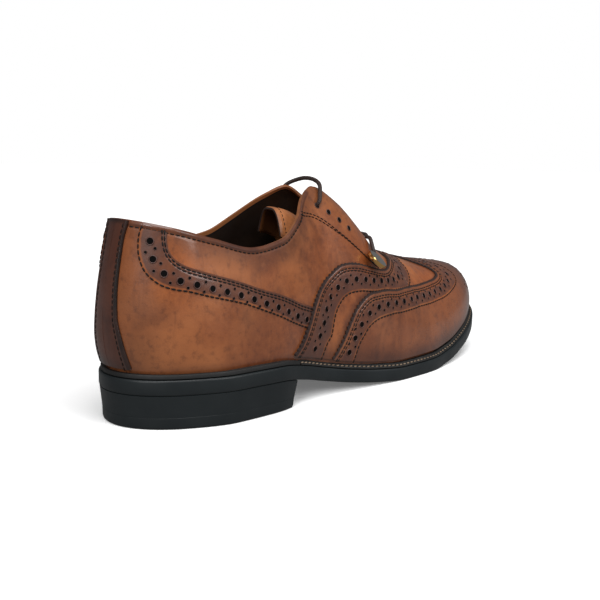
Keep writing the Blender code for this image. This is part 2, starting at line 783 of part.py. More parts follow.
def main():
    clear_scene()
    group = make_collection("wingtip_brogue")
    cutters = make_collection("cutters")
    cutters.hide_render = True
    tan = (0.36, 0.135, 0.045)
    dark = (0.13, 0.045, 0.025)
    black = (0.014, 0.016, 0.018)
    build_heel(make_material("heel_rubber", black, 0.5), group)
    build_outsole(make_material("sole_rubber", (0.017, 0.019, 0.021), 0.45), group)
    build_rand(make_material("rand_leather", (0.008, 0.008, 0.008), 0.6), group)
    build_welt(make_material("welt_leather", (0.011, 0.010, 0.010), 0.55), group)
    build_insole(make_material("insole_leather", (0.20, 0.12, 0.06), 0.7), group)
    build_upper(make_material("upper_leather", tan, 0.38, coat=0.3), group)
    build_back_strip(make_material("strip_leather", (0.16, 0.055, 0.03), 0.36, coat=0.3), group)
    band = make_material("band_leather", dark, 0.40, coat=0.3)
    build_band("counter_band_lateral", -1, band, group)
    build_band("counter_band_medial", 1, make_material("band_leather_in", dark, 0.40, coat=0.3), group)
    build_vamp(make_material("vamp_leather", tan, 0.36, coat=0.35), group)
    build_cap(make_material("cap_leather", (0.30, 0.11, 0.04), 0.34, coat=0.4), group)
    build_tongue(make_material("tongue_leather", (0.40, 0.16, 0.06), 0.42), group)
    build_laces(make_material("lace_cotton", (0.03, 0.018, 0.014), 0.8), group)
    build_disc(make_material("disc_brass", (0.55, 0.38, 0.16), 0.25, metallic=1.0), group)


main()
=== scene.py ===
"""Looks of the wingtip brogue: leather, stitching, perforations, sole and lacing.

Working sizes are millimetres from the heel's rear, as in the part's own source;
meshes are written in metres in the row frame.
"""
from __future__ import annotations

import logging
import math
from dataclasses import dataclass, field
from enum import Enum
from functools import lru_cache
from typing import Callable, Iterable, Sequence

import bmesh
import bpy
import numpy as np
from mathutils import Matrix, Vector

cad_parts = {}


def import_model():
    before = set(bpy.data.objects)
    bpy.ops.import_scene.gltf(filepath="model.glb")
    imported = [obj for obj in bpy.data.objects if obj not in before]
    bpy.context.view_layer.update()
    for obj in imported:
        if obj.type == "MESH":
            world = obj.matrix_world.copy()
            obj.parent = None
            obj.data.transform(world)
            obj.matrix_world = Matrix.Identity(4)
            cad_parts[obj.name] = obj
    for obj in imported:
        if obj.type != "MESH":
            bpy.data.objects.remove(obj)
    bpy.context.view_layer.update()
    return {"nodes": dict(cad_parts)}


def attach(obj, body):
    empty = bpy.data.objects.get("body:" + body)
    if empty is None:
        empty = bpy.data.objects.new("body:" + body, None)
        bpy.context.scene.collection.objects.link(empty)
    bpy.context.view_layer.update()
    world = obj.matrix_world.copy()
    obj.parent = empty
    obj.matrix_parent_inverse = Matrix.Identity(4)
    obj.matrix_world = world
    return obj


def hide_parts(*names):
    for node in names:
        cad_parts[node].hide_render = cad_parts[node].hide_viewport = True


LOG = logging.getLogger("wingtip_brogue")
MM = 0.001
Array = np.ndarray
Rows = Sequence[Sequence[float]]
Marks = list[tuple[Array, Array, Array | float]]
Color = tuple[float, float, float]
PROBE = 1e-4


class Side(Enum):
    """The two sides of a right shoe."""

    LATERAL = -1
    MEDIAL = 1


SIDES = (Side.LATERAL, Side.MEDIAL)


# --------------------------------------------------------------------------- curves
def table(rows: Rows, column: int, x: Array | float, key: int = 0) -> Array:
    """Smooth, overshoot-free curve through one column of a table.

    Args:
        rows: the table, sorted by its key column.
        column: column that is read.
        x: places to read it at.
        key: column that holds the places.

    Returns:
        The values at x.
    """
    xs = np.array([row[key] for row in rows], float)
    ys = np.array([row[column] for row in rows], float)
    x = np.clip(np.asarray(x, float), xs[0], xs[-1])
    h = np.diff(xs)
    d = np.diff(ys) / h
    m = np.zeros(len(xs))
    for i in range(1, len(xs) - 1):
        if d[i - 1] * d[i] > 0:
            w1 = 2 * h[i] + h[i - 1]
            w2 = h[i] + 2 * h[i - 1]
            m[i] = (w1 + w2) / (w1 / d[i - 1] + w2 / d[i])
    m[0] = d[0]
    m[-1] = d[-1]
    k = np.clip(np.searchsorted(xs, x, side="right") - 1, 0, len(xs) - 2)
    t = (x - xs[k]) / h[k]
    return ((2 * t ** 3 - 3 * t ** 2 + 1) * ys[k] + (t ** 3 - 2 * t ** 2 + t) * h[k] * m[k]
            + (-2 * t ** 3 + 3 * t ** 2) * ys[k + 1] + (t ** 3 - t ** 2) * h[k] * m[k + 1])


def round_end(share: Array) -> Array:
    """Quarter-round closing factor, 0 at share 0 and 1 from share 1 on."""
    u = np.clip(np.asarray(share, float), 0.0, 1.0)
    return np.sqrt(np.maximum(1.0 - (1.0 - u) ** 2, 0.0))


def smooth_step(value: Array, low: float, high: float) -> Array:
    """0 below low, 1 above high, smooth in between."""
    t = np.clip((np.asarray(value, float) - low) / (high - low), 0.0, 1.0)
    return t * t * (3.0 - 2.0 * t)


def bell(value: Array, centre: float, width: float) -> Array:
    """Bell curve of height 1."""
    return np.exp(-((np.asarray(value, float) - centre) / width) ** 2)


def spline_through(points: Array, count: int) -> Array:
    """Catmull-Rom line through points, evenly sampled.

    Args:
        points: control points, one row each, of any dimension.
        count: points wanted.

    Returns:
        The sampled line.
    """
    pts = np.asarray(points, float)
    ext = np.vstack([2 * pts[0] - pts[1], pts, 2 * pts[-1] - pts[-2]])
    out = []
    for i in range(1, len(ext) - 2):
        a, b, c, d = ext[i - 1], ext[i], ext[i + 1], ext[i + 2]
        for t in np.linspace(0.0, 1.0, 14, endpoint=False):
            out.append(0.5 * ((2 * b) + (c - a) * t + (2 * a - 5 * b + 4 * c - d) * t ** 2
                              + (3 * b - a - 3 * c + d) * t ** 3))
    out.append(ext[-2])
    return resample(np.array(out), count)


def run_length(line: Array) -> Array:
    """Length along a line up to each of its points."""
    return np.r_[0.0, np.cumsum(np.linalg.norm(np.diff(line, axis=0), axis=1))]


def read_line(at: Array, run: Array, line: Array) -> Array:
    """The line's points at given lengths along it."""
    return np.stack([np.interp(at, run, column) for column in line.T], 1)


def resample(line: Array, count: int) -> Array:
    """The same line with evenly spaced points."""
    run = run_length(line)
    return read_line(np.linspace(0.0, run[-1], count), run, line)


def unit(vectors: Array) -> Array:
    """Vectors of length 1 along the last axis."""
    return vectors / np.maximum(np.linalg.norm(vectors, axis=-1, keepdims=True), 1e-9)


def half_wave(count: int) -> Array:
    """Shares from 0 to 1 that crowd together at both ends."""
    return (1.0 - np.cos(np.pi * np.linspace(0.0, 1.0, count))) / 2.0


def link_new(name: str, data: bpy.types.ID) -> bpy.types.Object:
    """New object, linked to the scene."""
    obj = bpy.data.objects.new(name, data)
    bpy.context.scene.collection.objects.link(obj)
    return obj


# --------------------------------------------------------------------------- last
@dataclass(frozen=True)
class Last:
    """Shape of the shoe: sole outline and the upper's outer face.

    Lengths are mm from the heel's rear. sole_rows: x, centre, half width, height
    of the underside. upper_rows: x at the sole, then x, height and half width of
    the top line, its centre, belly, arch share, arch power, set-in of the foot.
    Folds: height, x and v at both ends, width, reach. Creases: x, depth, width.
    """

    sole_length: float = 300.0
    rear_round: float = 46.0
    toe_round: float = 64.0
    sole_thick: float = 7.4
    feather_rear: float = 4.5
    feather_toe: float = 293.6
    seat_gap: float = 0.4
    collar_rear: float = 5.5
    collar_round: float = 26.0
    throat_end: float = 188.0
    throat_round: float = 7.0
    overlay_foot: float = 4.7
    collar_row: float = 3.0
    centre_x: float = 148.574
    centre_y: float = 5.269
    sole_rows: Rows = (
        (0.0, 2.0, 34.0, 16.7), (25.0, 1.0, 35.5, 16.7), (50.0, -1.6, 37.6, 16.7),
        (75.0, -3.2, 37.2, 16.2), (97.0, -3.4, 33.4, 12.4), (112.0, -3.5, 32.4, 8.8),
        (132.0, -3.4, 34.6, 4.8), (155.0, -1.9, 39.5, 1.6), (176.0, 1.2, 44.6, 0.0),
        (206.0, 5.2, 48.0, 0.0), (225.0, 7.1, 47.0, 2.0), (245.0, 7.6, 43.8, 6.6),
        (270.0, 7.6, 40.4, 13.4), (300.0, 7.0, 37.0, 21.0),
    )
    upper_rows: Rows = (
        (4.5, 5.5, 98.0, 24.0, 0.0, 6.4, 0.0, 2.0, 4.5),
        (20.0, 19.0, 94.6, 25.2, 0.0, 5.2, 0.0, 2.0, 4.5),
        (45.0, 41.0, 88.6, 27.0, 0.0, 4.4, 0.0, 2.0, 4.5),
        (70.0, 64.0, 83.2, 29.4, 0.0, 4.0, 0.05, 2.0, 4.5),
        (92.0, 84.0, 86.0, 29.0, 0.0, 3.8, 0.15, 1.9, 4.2),
        (108.0, 100.0, 95.0, 24.6, 0.0, 3.4, 0.40, 1.8, 3.8),
        (120.0, 114.0, 105.8, 15.2, 0.2, 3.0, 0.65, 1.7, 3.6),
        (131.0, 126.0, 111.0, 10.0, 0.4, 2.8, 0.85, 1.7, 3.6),
        (146.0, 143.0, 103.4, 8.8, 0.8, 2.6, 1.0, 1.75, 3.8),
        (160.0, 158.0, 92.4, 7.4, 1.4, 2.4, 1.0, 1.8, 4.2),
        (175.0, 172.0, 79.6, 6.2, 2.2, 2.2, 1.0, 1.85, 4.6),
        (192.0, 188.0, 71.4, 5.0, 3.2, 2.0, 1.0, 1.95, 5.0),
        (210.0, 203.0, 67.0, 5.0, 4.4, 2.0, 1.0, 2.0, 5.4),
        (235.0, 223.0, 61.2, 5.0, 6.0, 2.0, 1.0, 2.1, 5.8),
        (258.0, 241.0, 58.6, 5.0, 7.0, 2.0, 1.0, 2.25, 6.2),
        (278.0, 256.0, 56.8, 5.0, 7.4, 2.2, 1.0, 2.4, 6.4),
        (293.6, 266.0, 54.8, 5.0, 7.4, 2.2, 1.0, 2.45, 6.4),
    )
    lateral_folds: Rows = (
        (-0.42, 101.0, 0.86, 109.0, 0.62, 2.3, 0.17), (-0.38, 107.0, 0.84, 114.5, 0.58, 1.9, 0.15),
        (0.26, 104.0, 0.85, 111.8, 0.60, 2.6, 0.16))
    medial_folds: Rows = ((-0.34, 103.0, 0.84, 112.0, 0.60, 2.6, 0.17),)
    ball_creases: Rows = ((199.0, 0.20, 3.4), (207.5, 0.26, 3.0), (216.0, 0.16, 3.2))

    def world(self, points: Array) -> Array:
        """Working millimetres to metres in the row frame."""
        shift = np.array([self.centre_x, self.centre_y, 0.0])
        return (np.asarray(points, float).reshape(-1, 3) - shift) * MM

    def sole_edge(self, x: Array, side: int, inset: float = 0.0) -> Array:
        """y of the sole's edge at x, on one side."""
        half = table(self.sole_rows, 2, x) - inset
        ends = round_end((np.asarray(x, float) - inset) / (self.rear_round - inset))
        ends = ends * round_end((self.sole_length - inset - x) / (self.toe_round - inset))
        return table(self.sole_rows, 1, x) + side * half * ends

    def sole_bottom(self, x: Array | float) -> Array:
        """Height of the sole's underside at x."""
        return table(self.sole_rows, 3, x)

    def sole_top(self, x: Array | float) -> Array:
        """Height of the sole's upper face at x."""
        return self.sole_bottom(x) + self.sole_thick

    def feather_x(self, p: Array) -> Array:
        """x of the line where the upper meets the sole, for p from 0 (heel) to 1 (toe)."""
        span = self.feather_toe - self.feather_rear
        return self.feather_rear + span * (1.0 - np.cos(np.pi * np.asarray(p, float))) / 2.0

    def feather_p(self, x: Array | float) -> Array:
        """Inverse of feather_x."""
        span = self.feather_toe - self.feather_rear
        c = 1.0 - 2.0 * (np.asarray(x, float) - self.feather_rear) / span
        return np.arccos(np.clip(c, -1.0, 1.0)) / np.pi

    def feather_y(self, x: Array, side: int) -> Array:
        """y of the upper's lower edge at x."""
        half = table(self.sole_rows, 2, x) - table(self.upper_rows, 8, x)
        ends = round_end((np.asarray(x, float) - self.feather_rear)
                         / (self.rear_round - self.feather_rear))
        ends = ends * round_end((self.feather_toe - x) / (self.toe_round - 6.0))
        return table(self.sole_rows, 1, x) + side * half * ends

    def feather_out(self, p: Array, side: int) -> tuple[Array, Array]:
        """Unit vector square to the feather line in plan, pointing out of the shoe."""
        xa = self.feather_x(np.clip(p - PROBE, 0.0, 1.0))
        xb = self.feather_x(np.clip(p + PROBE, 0.0, 1.0))
        dx = xb - xa
        dy = self.feather_y(xb, side) - self.feather_y(xa, side)
        length = np.hypot(dx, dy)
        at_end = (np.asarray(p) <= 0.0) | (np.asarray(p) >= 1.0)
        nx = np.where(at_end, np.sign(np.asarray(p) - 0.5), -side * dy / length)
        ny = np.where(at_end, 0.0, side * dx / length)
        return nx, ny

    def point(self, p: Array, v: Array, side: int) -> Array:
        """Point of the upper's outer face: p along the shoe, v up the section."""
        p, v = np.broadcast_arrays(np.asarray(p, float), np.asarray(v, float))
        xf = self.feather_x(p)
        yf = self.feather_y(xf, side)
        zf = self.sole_top(xf) + self.seat_gap
        tx = table(self.upper_rows, 1, xf)
        tz = table(self.upper_rows, 2, xf)
        half = table(self.upper_rows, 3, xf)
        half = half * round_end((tx - self.collar_rear) / self.collar_round)
        near_throat = round_end((self.throat_end - tx) / self.throat_round)
        half = half * np.where(tx < self.throat_end - 1e-6, near_throat, 0.0)
        ty = table(self.upper_rows, 4, xf) + side * half
        belly = table(self.upper_rows, 5, xf) * np.sin(np.pi * v ** 0.72)
        arch = table(self.upper_rows, 6, xf)
        power = table(self.upper_rows, 7, xf)
        angle = v * np.pi / 2.0
        across = (1 - arch) * v + arch * (1 - np.maximum(np.cos(angle), 0.0) ** (2.0 / power))
        rise = (1 - arch) * v + arch * np.sin(angle) ** (2.0 / power)
        nx, ny = self.feather_out(p, side)
        x = xf + (tx - xf) * across + nx * belly
        y = yf + (ty - yf) * across + ny * belly
        return np.stack([x, y, zf + (tz - zf) * rise], -1)

    def normal(self, p: Array, v: Array, side: int) -> Array:
        """Outward unit normal of the upper; where the halves join, the mean of both."""
        def one(way: int) -> Array:
            """Normal of one half."""
            a = (self.point(np.clip(p + PROBE, 0, 1), v, way)
                 - self.point(np.clip(p - PROBE, 0, 1), v, way))
            b = (self.point(p, np.clip(v + PROBE, 1e-5, 1), way)
                 - self.point(p, np.clip(v - PROBE, 1e-5, 1), way))
            n = np.cross(a, b) * -way
            return n / np.maximum(np.linalg.norm(n, axis=-1, keepdims=True), 1e-12)

        p, v = np.broadcast_arrays(np.asarray(p, float), np.asarray(v, float))
        mine, other = one(side), one(-side)
        gap = np.linalg.norm(self.point(p, v, side) - self.point(p, v, -side), axis=-1, keepdims=True)
        return np.where(gap < 1e-5, unit(mine + other), mine)

    def relief(self, p: Array, v: Array, side: int) -> Array:
        """Soft creases, troughs and swells of the worn-in leather, in mm outwards."""
        x = self.feather_x(p)
        out = 0.16 * np.sin(x * 0.083 + 2.2 * v + 0.6 * side) * np.sin(v * 5.1 + x * 0.021)
        out = out * smooth_step(v, 0.04, 0.16) * (1.0 - smooth_step(v, 0.86, 0.98))
        for height, x0, v0, x1, v1, wide, reach in (self.lateral_folds if side < 0 else self.medial_folds):
            line = x0 + (x1 - x0) / (v1 - v0) * (v - v0)
            out = out + height * bell(x, line, wide) * np.exp(-((v - (v0 + v1) / 2.0) / reach) ** 4)
        reach = smooth_step(v, 0.30, 0.50) * (1.0 - smooth_step(v, 0.90, 1.0))
        for centre, depth, wide in self.ball_creases:
            line = centre + 9.0 * (0.62 - v) + 1.2 * np.sin(v * 21.0)
            out = out - depth * bell(x, line, wide) * reach
        return out

    def lifted(self, p: Array, v: Array, side: int, lift: Array | float) -> Array:
        """Point outside (or, with a minus, inside) the upper's outer face."""
        p, v = np.broadcast_arrays(np.asarray(p, float), np.asarray(v, float))
        out = np.asarray(lift, float) + self.relief(p, v, side)
        return self.point(p, v, side) + self.normal(p, v, side) * out[..., None]

    def foot_share(self, p: Array, side: int, rise: float) -> Array:
        """v at which the section at p stands rise mm above its foot."""
        grid, found = self._foot_curve(side, rise)
        return np.interp(np.asarray(p, float), grid, found)

    @lru_cache(maxsize=None)
    def _foot_curve(self, side: int, rise: float) -> tuple[Array, Array]:
        """The foot share at evenly spaced places."""
        grid = np.linspace(0.0, 1.0, 241)
        shares = np.linspace(0.0, 0.5, 120)
        height = self.point(grid[:, None], shares[None, :], side)[..., 2]
        return grid, np.array([np.interp(rise, row - row[0], shares) for row in height])

    def overlay_v(self, p: Array, w: Array, side: int) -> Array:
        """v for height share w, counted from the overlays' foot just above the welt."""
        foot = self.foot_share(p, side, self.overlay_foot)
        return foot + (1.0 - foot) * np.asarray(w, float)

    def overlay_grid(self, p: Array, shares: Array, side: int) -> Array:
        """v for a grid of p whose rows stand at height shares."""
        return np.stack([self.overlay_v(column, shares, side) for column in p.T], 1)

    def place(self, x: Array, w: Array, side: int, lift: Array | float) -> Array:
        """Point over the upper at sole place x and height share w."""
        p = self.feather_p(x)
        return self.lifted(p, self.overlay_v(p, w, side), side, lift)

    def mark(self, x: Array, w: Array, side: int, lift: Array | float,
             size: Array | float = 1.0) -> tuple[Array, Array, Array | float]:
        """Points over the upper with its normals and a size, for stitches and holes."""
        p = self.feather_p(x)
        v = self.overlay_v(p, w, side)
        return self.lifted(p, v, side, lift), self.normal(p, v, side), size


# --------------------------------------------------------------------------- meshes
@dataclass
class Maker:
    """Turns working-size points into finished pieces that ride on the shoe."""

    last: Last
    made: list[bpy.types.Object] = field(default_factory=list)

    def piece(self, name: str, points: Array, faces: Iterable[Sequence[int]],
              finishes: Sequence[bpy.types.Material], face_finish: Array | None = None,
              layers: dict[str, Array] | None = None, sharp: float = 42.0) -> bpy.types.Object:
        """Mesh object from points in working millimetres.

        Args:
            name: piece name.
            points: vertex positions.
            faces: vertex indices of each face.
            finishes: materials in slot order.
            face_finish: slot of each face.
            layers: float values per vertex, read by the materials.
            sharp: edges above this angle in degrees stay sharp.

        Returns:
            The linked object.
        """
        faces = list(faces)
        mesh = bpy.data.meshes.new(name)
        mesh.from_pydata([tuple(p) for p in self.last.world(points)], [], faces)
        for label, values in (layers or {}).items():
            layer = mesh.attributes.new(label, "FLOAT", "POINT")
            layer.data.foreach_set("value", np.asarray(values, np.float32))
        for finish in finishes:
            mesh.materials.append(finish)
        if face_finish is not None:
            mesh.polygons.foreach_set("material_index", np.asarray(face_finish, np.int32))
        mesh.polygons.foreach_set("use_smooth", np.ones(len(mesh.polygons), bool))
        mesh.set_sharp_from_angle(angle=math.radians(sharp))
        mesh.validate()
        mesh.update()
        return self.keep(link_new(name, mesh))

    def keep(self, obj: bpy.types.Object) -> bpy.types.Object:
        """Lets a finished piece ride on the shoe and reports it."""
        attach(obj, "root")
        self.made.append(obj)
        LOG.info("%s: %d faces", obj.name, len(obj.data.polygons))
        return obj

    def shell(self, name: str, outer: Array, inner: Array, faces: list[tuple[int, ...]],
              finishes: Sequence[bpy.types.Material], layers: dict[str, Array] | None = None,
              sharp: float = 42.0) -> bpy.types.Object:
        """Closed wall between two sheets of the same topology.

        Args:
            name: piece name.
            outer: points of the outer sheet; points at one place are joined.
            inner: matching points of the inner sheet.
            faces: faces of the outer sheet, pointing outwards.
            finishes: outer, inner and rim materials (one is used for all).
            layers: float values per outer point, given to the inner ones too.
            sharp: edges above this angle in degrees stay sharp.

        Returns:
            The linked object.
        """
        keys, first, where = np.unique(np.round(outer, 4), axis=0, return_index=True,
                                       return_inverse=True)
        where = where.reshape(-1)
        count = len(keys)
        top = []
        for face in faces:
            ring = [int(where[i]) for i in face]
            ring = [a for i, a in enumerate(ring) if a != ring[i - 1]]
            if len(ring) > 2:
                top.append(tuple(ring))
        used: dict[tuple[int, int], int] = {}
        for face in top:
            for a, b in zip(face, face[1:] + face[:1]):
                used[(a, b)] = used.get((a, b), 0) + 1
        rim = [(b, a, a + count, b + count) for (a, b) in used if (b, a) not in used]
        below = [tuple(a + count for a in reversed(face)) for face in top]
        slots = ([0] * len(top) + [min(1, len(finishes) - 1)] * len(below)
                 + [min(2, len(finishes) - 1)] * len(rim))
        points = np.vstack([outer[first], inner[first]])
        extra = {k: np.tile(np.asarray(val, float).reshape(-1)[first], 2)
                 for k, val in (layers or {}).items()}
        return self.piece(name, points, top + below + rim, finishes, np.array(slots), extra, sharp)

    def outward(self, sheet: Array, p: Array, v: Array, side: int, start: int) -> list[tuple[int, ...]]:
        """Quads over a sheet of points, turned to point out of the shoe."""
        rows, columns = p.shape
        i, j = rows // 2, columns // 2
        across = np.cross(sheet[i, j + 1] - sheet[i, j], sheet[i + 1, j] - sheet[i, j])
        away = self.last.normal(p[i:i + 1, j], v[i:i + 1, j], side)[0]
        return self.grid(rows, columns, start, flip=bool(np.dot(across, away) < 0.0))

    def rings(self, rings: Sequence[Array]) -> tuple[Array, list[tuple[int, ...]]]:
        """Points and faces of stacked closed rings, with a face over each end."""
        count = len(rings[0])
        faces = self.grid(len(rings), count, wrap=True)
        faces.append(tuple(reversed(range(count))))
        faces.append(tuple((len(rings) - 1) * count + k for k in range(count)))
        return np.vstack(rings), faces

    @staticmethod
    def grid(rows: int, columns: int, start: int = 0, wrap: bool = False,
             flip: bool = False) -> list[tuple[int, ...]]:
        """Quads of a rows x columns grid of points."""
        faces = []
        for i in range(rows - 1):
            for j in range(columns if wrap else columns - 1):
                k = (j + 1) % columns
                quad = (start + i * columns + j, start + i * columns + k,
                        start + (i + 1) * columns + k, start + (i + 1) * columns + j)
                faces.append(tuple(reversed(quad)) if flip else quad)
        return faces

    def both_sides(self, name: str, sheet: Callable[[int], dict[str, Array]],
                   finishes: Sequence[bpy.types.Material], sharp: float = 42.0) -> bpy.types.Object:
        """Shell over both sides of the shoe.

        Args:
            name: piece name.
            sheet: for a side, p and v grids, out and in lifts, and further float layers.
            finishes: outer, inner and rim materials.
            sharp: edges above this angle in degrees stay sharp.

        Returns:
            The linked object.
        """
        outer, inner, faces = [], [], []
        layers: dict[str, list[Array]] = {}
        start = 0
        for side in SIDES:
            made = sheet(side.value)
            p, v = made.pop("p"), made.pop("v")
            out, into = made.pop("out"), made.pop("into")
            face = self.last.lifted(p, v, side.value, out)
            outer.append(face.reshape(-1, 3))
            inner.append(self.last.lifted(p, v, side.value, into).reshape(-1, 3))
            for key, values in made.items():
                layers.setdefault(key, []).append(np.broadcast_to(values, p.shape).reshape(-1))
            faces += self.outward(face, p, v, side.value, start)
            start += p.size
        joined = {k: np.concatenate(val) for k, val in layers.items()}
        return self.shell(name, np.vstack(outer), np.vstack(inner), faces, finishes, joined, sharp)


# --------------------------------------------------------------------------- node groups
class NodeBuilder:
    """Short hand for shader trees."""

    def __init__(self, tree: bpy.types.NodeTree) -> None:
        """Keeps the tree that nodes are added to."""
        self.tree = tree

    def add(self, kind: str, **settings: object) -> bpy.types.Node:
        """New node with its properties set."""
        node = self.tree.nodes.new(kind)
        for key, value in settings.items():
            setattr(node, key, value)
        return node

    def link(self, source: object, target: object) -> None:
        """Joins an output to an input; a plain value is set instead."""
        if isinstance(source, bpy.types.NodeSocket):
            self.tree.links.new(source, target)
        else:
            target.default_value = source

    def math(self, operation: str, a: object, b: object = 0.0, clamp: bool = False) -> object:
        """Math node."""
        node = self.add("ShaderNodeMath", operation=operation, use_clamp=clamp)
        self.link(a, node.inputs[0])
        self.link(b, node.inputs[1])
        return node.outputs[0]

    def times(self, a: object, b: object) -> object:
        """Product of two values."""
        return self.math("MULTIPLY", a, b)

    def layer(self, name: str) -> object:
        """A float layer of the piece."""
        return self.add("ShaderNodeAttribute", attribute_name=name).outputs["Fac"]

    def group(self, tree: bpy.types.NodeTree, **values: object) -> bpy.types.Node:
        """A shared group with its inputs linked or set."""
        node = self.add("ShaderNodeGroup", node_tree=tree)
        for label, value in values.items():
            self.link(value, node.inputs[label])
        return node

    def mapped(self, place: object, scale: Sequence[float], turn: Sequence[float]) -> object:
        """Place, turned and stretched."""
        node = self.add("ShaderNodeMapping")
        self.link(place, node.inputs["Vector"])
        node.inputs["Rotation"].default_value = turn
        node.inputs["Scale"].default_value = scale
        return node.outputs[0]

    def bump(self, shader: bpy.types.Node, height: object, strength: float,
             distance: float = 0.0004) -> None:
        """Fine relief on a shader."""
        node = self.add("ShaderNodeBump")
        node.inputs["Strength"].default_value = strength
        node.inputs["Distance"].default_value = distance
        self.link(height, node.inputs["Height"])
        self.link(node.outputs[0], shader.inputs["Normal"])

    def mix(self, share: object, a: object, b: object, blend: str = "MIX") -> object:
        """Colour mix."""
        node = self.add("ShaderNodeMix", data_type="RGBA", blend_type=blend)
        self.link(share, node.inputs[0])
        self.link(a, node.inputs[6])
        self.link(b, node.inputs[7])
        return node.outputs[2]

    def ramp(self, value: object, low: float, high: float, start: float = 0.0,
             end: float = 1.0) -> object:
        """Smooth range of a value."""
        node = self.add("ShaderNodeMapRange", interpolation_type="SMOOTHSTEP", clamp=True)
        self.link(value, node.inputs[0])
        for slot, number in zip(node.inputs[1:5], (low, high, start, end)):
            slot.default_value = number
        return node.outputs[0]

    def noise(self, place: object, scale: float, detail: float = 3.0, rough: float = 0.55,
              warp: float = 0.0) -> object:
        """Noise value."""
        node = self.add("ShaderNodeTexNoise")
        self.link(place, node.inputs["Vector"])
        node.inputs["Scale"].default_value = scale
        node.inputs["Detail"].default_value = detail
        node.inputs["Roughness"].default_value = rough
        node.inputs["Distortion"].default_value = warp
        return node.outputs[0]

    def cells(self, place: object, scale: float) -> object:
        """Distance to the edges of a cell pattern."""
        node = self.add("ShaderNodeTexVoronoi", feature="DISTANCE_TO_EDGE")
        self.link(place, node.inputs["Vector"])
        node.inputs["Scale"].default_value = scale
        return node.outputs["Distance"]


def rgba(color: Color) -> tuple[float, float, float, float]:
    """The colour with full alpha."""
    return (*color, 1.0)


def new_material(name: str, color: Color | None = None,
                 ) -> tuple[bpy.types.Material, NodeBuilder, bpy.types.Node]:
    """Node material, with its builder and its Principled shader."""
    material = bpy.data.materials.new(name)
    material.use_nodes = True
    if color:
        material.diffuse_color = rgba(color)
    return material, NodeBuilder(material.node_tree), material.node_tree.nodes["Principled BSDF"]


def new_group(name: str, inputs: Sequence[tuple[str, str, object]], outputs: Sequence[tuple[str, str]],
              ) -> tuple[bpy.types.NodeTree, NodeBuilder, object, object]:
    """Empty shader group with named sockets.

    Args:
        name: group name.
        inputs: name, socket type and default of each input.
        outputs: name and socket type of each output.

    Returns:
        The tree, its builder, and its input and output nodes.
    """
    tree = bpy.data.node_groups.new(name, "ShaderNodeTree")
    for label, kind, default in inputs:
        socket = tree.interface.new_socket(name=label, in_out="INPUT", socket_type=kind)
        if default is not None:
            socket.default_value = default
    for label, kind in outputs:
        tree.interface.new_socket(name=label, in_out="OUTPUT", socket_type=kind)
    build = NodeBuilder(tree)
    return tree, build, build.add("NodeGroupInput"), build.add("NodeGroupOutput")


FLOAT, COLOR, VECTOR = "NodeSocketFloat", "NodeSocketColor", "NodeSocketVector"
LACE_WAVE = 5.2
LACE_STRANDS = 4.0


def grain_group() -> bpy.types.NodeTree:
    """Fine calf grain with pores: a height from 0 to 1."""
    tree, b, given, out = new_group("calf_grain", [("Place", VECTOR, None)], [("Height", FLOAT)])
    spot = given.outputs[0]
    cells = b.ramp(b.cells(spot, 1900.0), 0.0, 0.34)
    pores = b.ramp(b.noise(spot, 950.0, 2.0), 0.25, 0.6)
    height = b.math("ADD", b.times(cells, 0.34), b.times(pores, 0.3))
    height = b.math("ADD", height, b.times(b.noise(spot, 240.0, 3.0), 0.9))
    b.link(height, out.inputs[0])
    return tree


def patina_group() -> bpy.types.NodeTree:
    """Hand-dyed leather colour: clouds of light and dark dye, burnishing mixed with painted shade, and
    rubbed spots.
    """
    tree, b, given, out = new_group(
        "hand_dyed_patina",
        [("Place", VECTOR, None), ("Light", COLOR, (1, 1, 1, 1)), ("Middle", COLOR, (0.5, 0.5, 0.5, 1)),
         ("Dark", COLOR, (0.1, 0.1, 0.1, 1)), ("Burnish", COLOR, (0.1, 0.1, 0.1, 1)),
         ("Burn", FLOAT, 0.0), ("Warmth", COLOR, (0.5, 0.2, 0.05, 1))],
        [("Color", COLOR), ("Gloss", FLOAT)])
    light, dark = given.outputs["Light"], given.outputs["Dark"]
    spot = given.outputs["Place"]
    clouds = b.ramp(b.noise(spot, 17.0, 2.0, 0.5, 0.5), 0.36, 0.66)
    shade = b.ramp(b.noise(spot, 31.0, 3.0, 0.6, 1.1), 0.48, 0.74)
    fine = b.noise(spot, 260.0, 5.0, 0.65)
    warm = b.ramp(b.noise(spot, 12.0, 1.0, 0.4, 0.3), 0.50, 0.72)
    brushed = b.mapped(spot, (3.2, 3.2, 0.7), (0.5, 0.75, 0.35))
    strokes = b.noise(brushed, 42.0, 4.0, 0.6, 0.8)
    color = b.mix(clouds, given.outputs["Middle"], light)
    for mask, strength, dye in (
            (warm, 0.55, given.outputs["Warmth"]), (shade, 0.42, dark),
            (b.ramp(fine, 0.48, 0.72), 0.42, dark), (b.ramp(fine, 0.50, 0.28), 0.34, light),
            (b.ramp(strokes, 0.50, 0.78), 0.36, dark), (b.ramp(strokes, 0.46, 0.24), 0.30, light)):
        color = b.mix(b.times(mask, strength), color, dye)
    # The darkening layer mixes in one dark colour: it darkens toe, heel, edges and foot, and also paints
    # shade beside the raised edges of the vamp and the wing cap.
    uneven = b.ramp(b.noise(spot, 55.0, 3.0), 0.2, 0.8, 0.72, 1.12)
    burn = b.math("MULTIPLY", given.outputs["Burn"], uneven, clamp=True)
    b.link(b.mix(burn, color, given.outputs["Burnish"]), out.inputs[0])
    b.link(b.ramp(b.noise(spot, 70.0, 4.0, 0.6), 0.3, 0.7), out.inputs[1])
    return tree


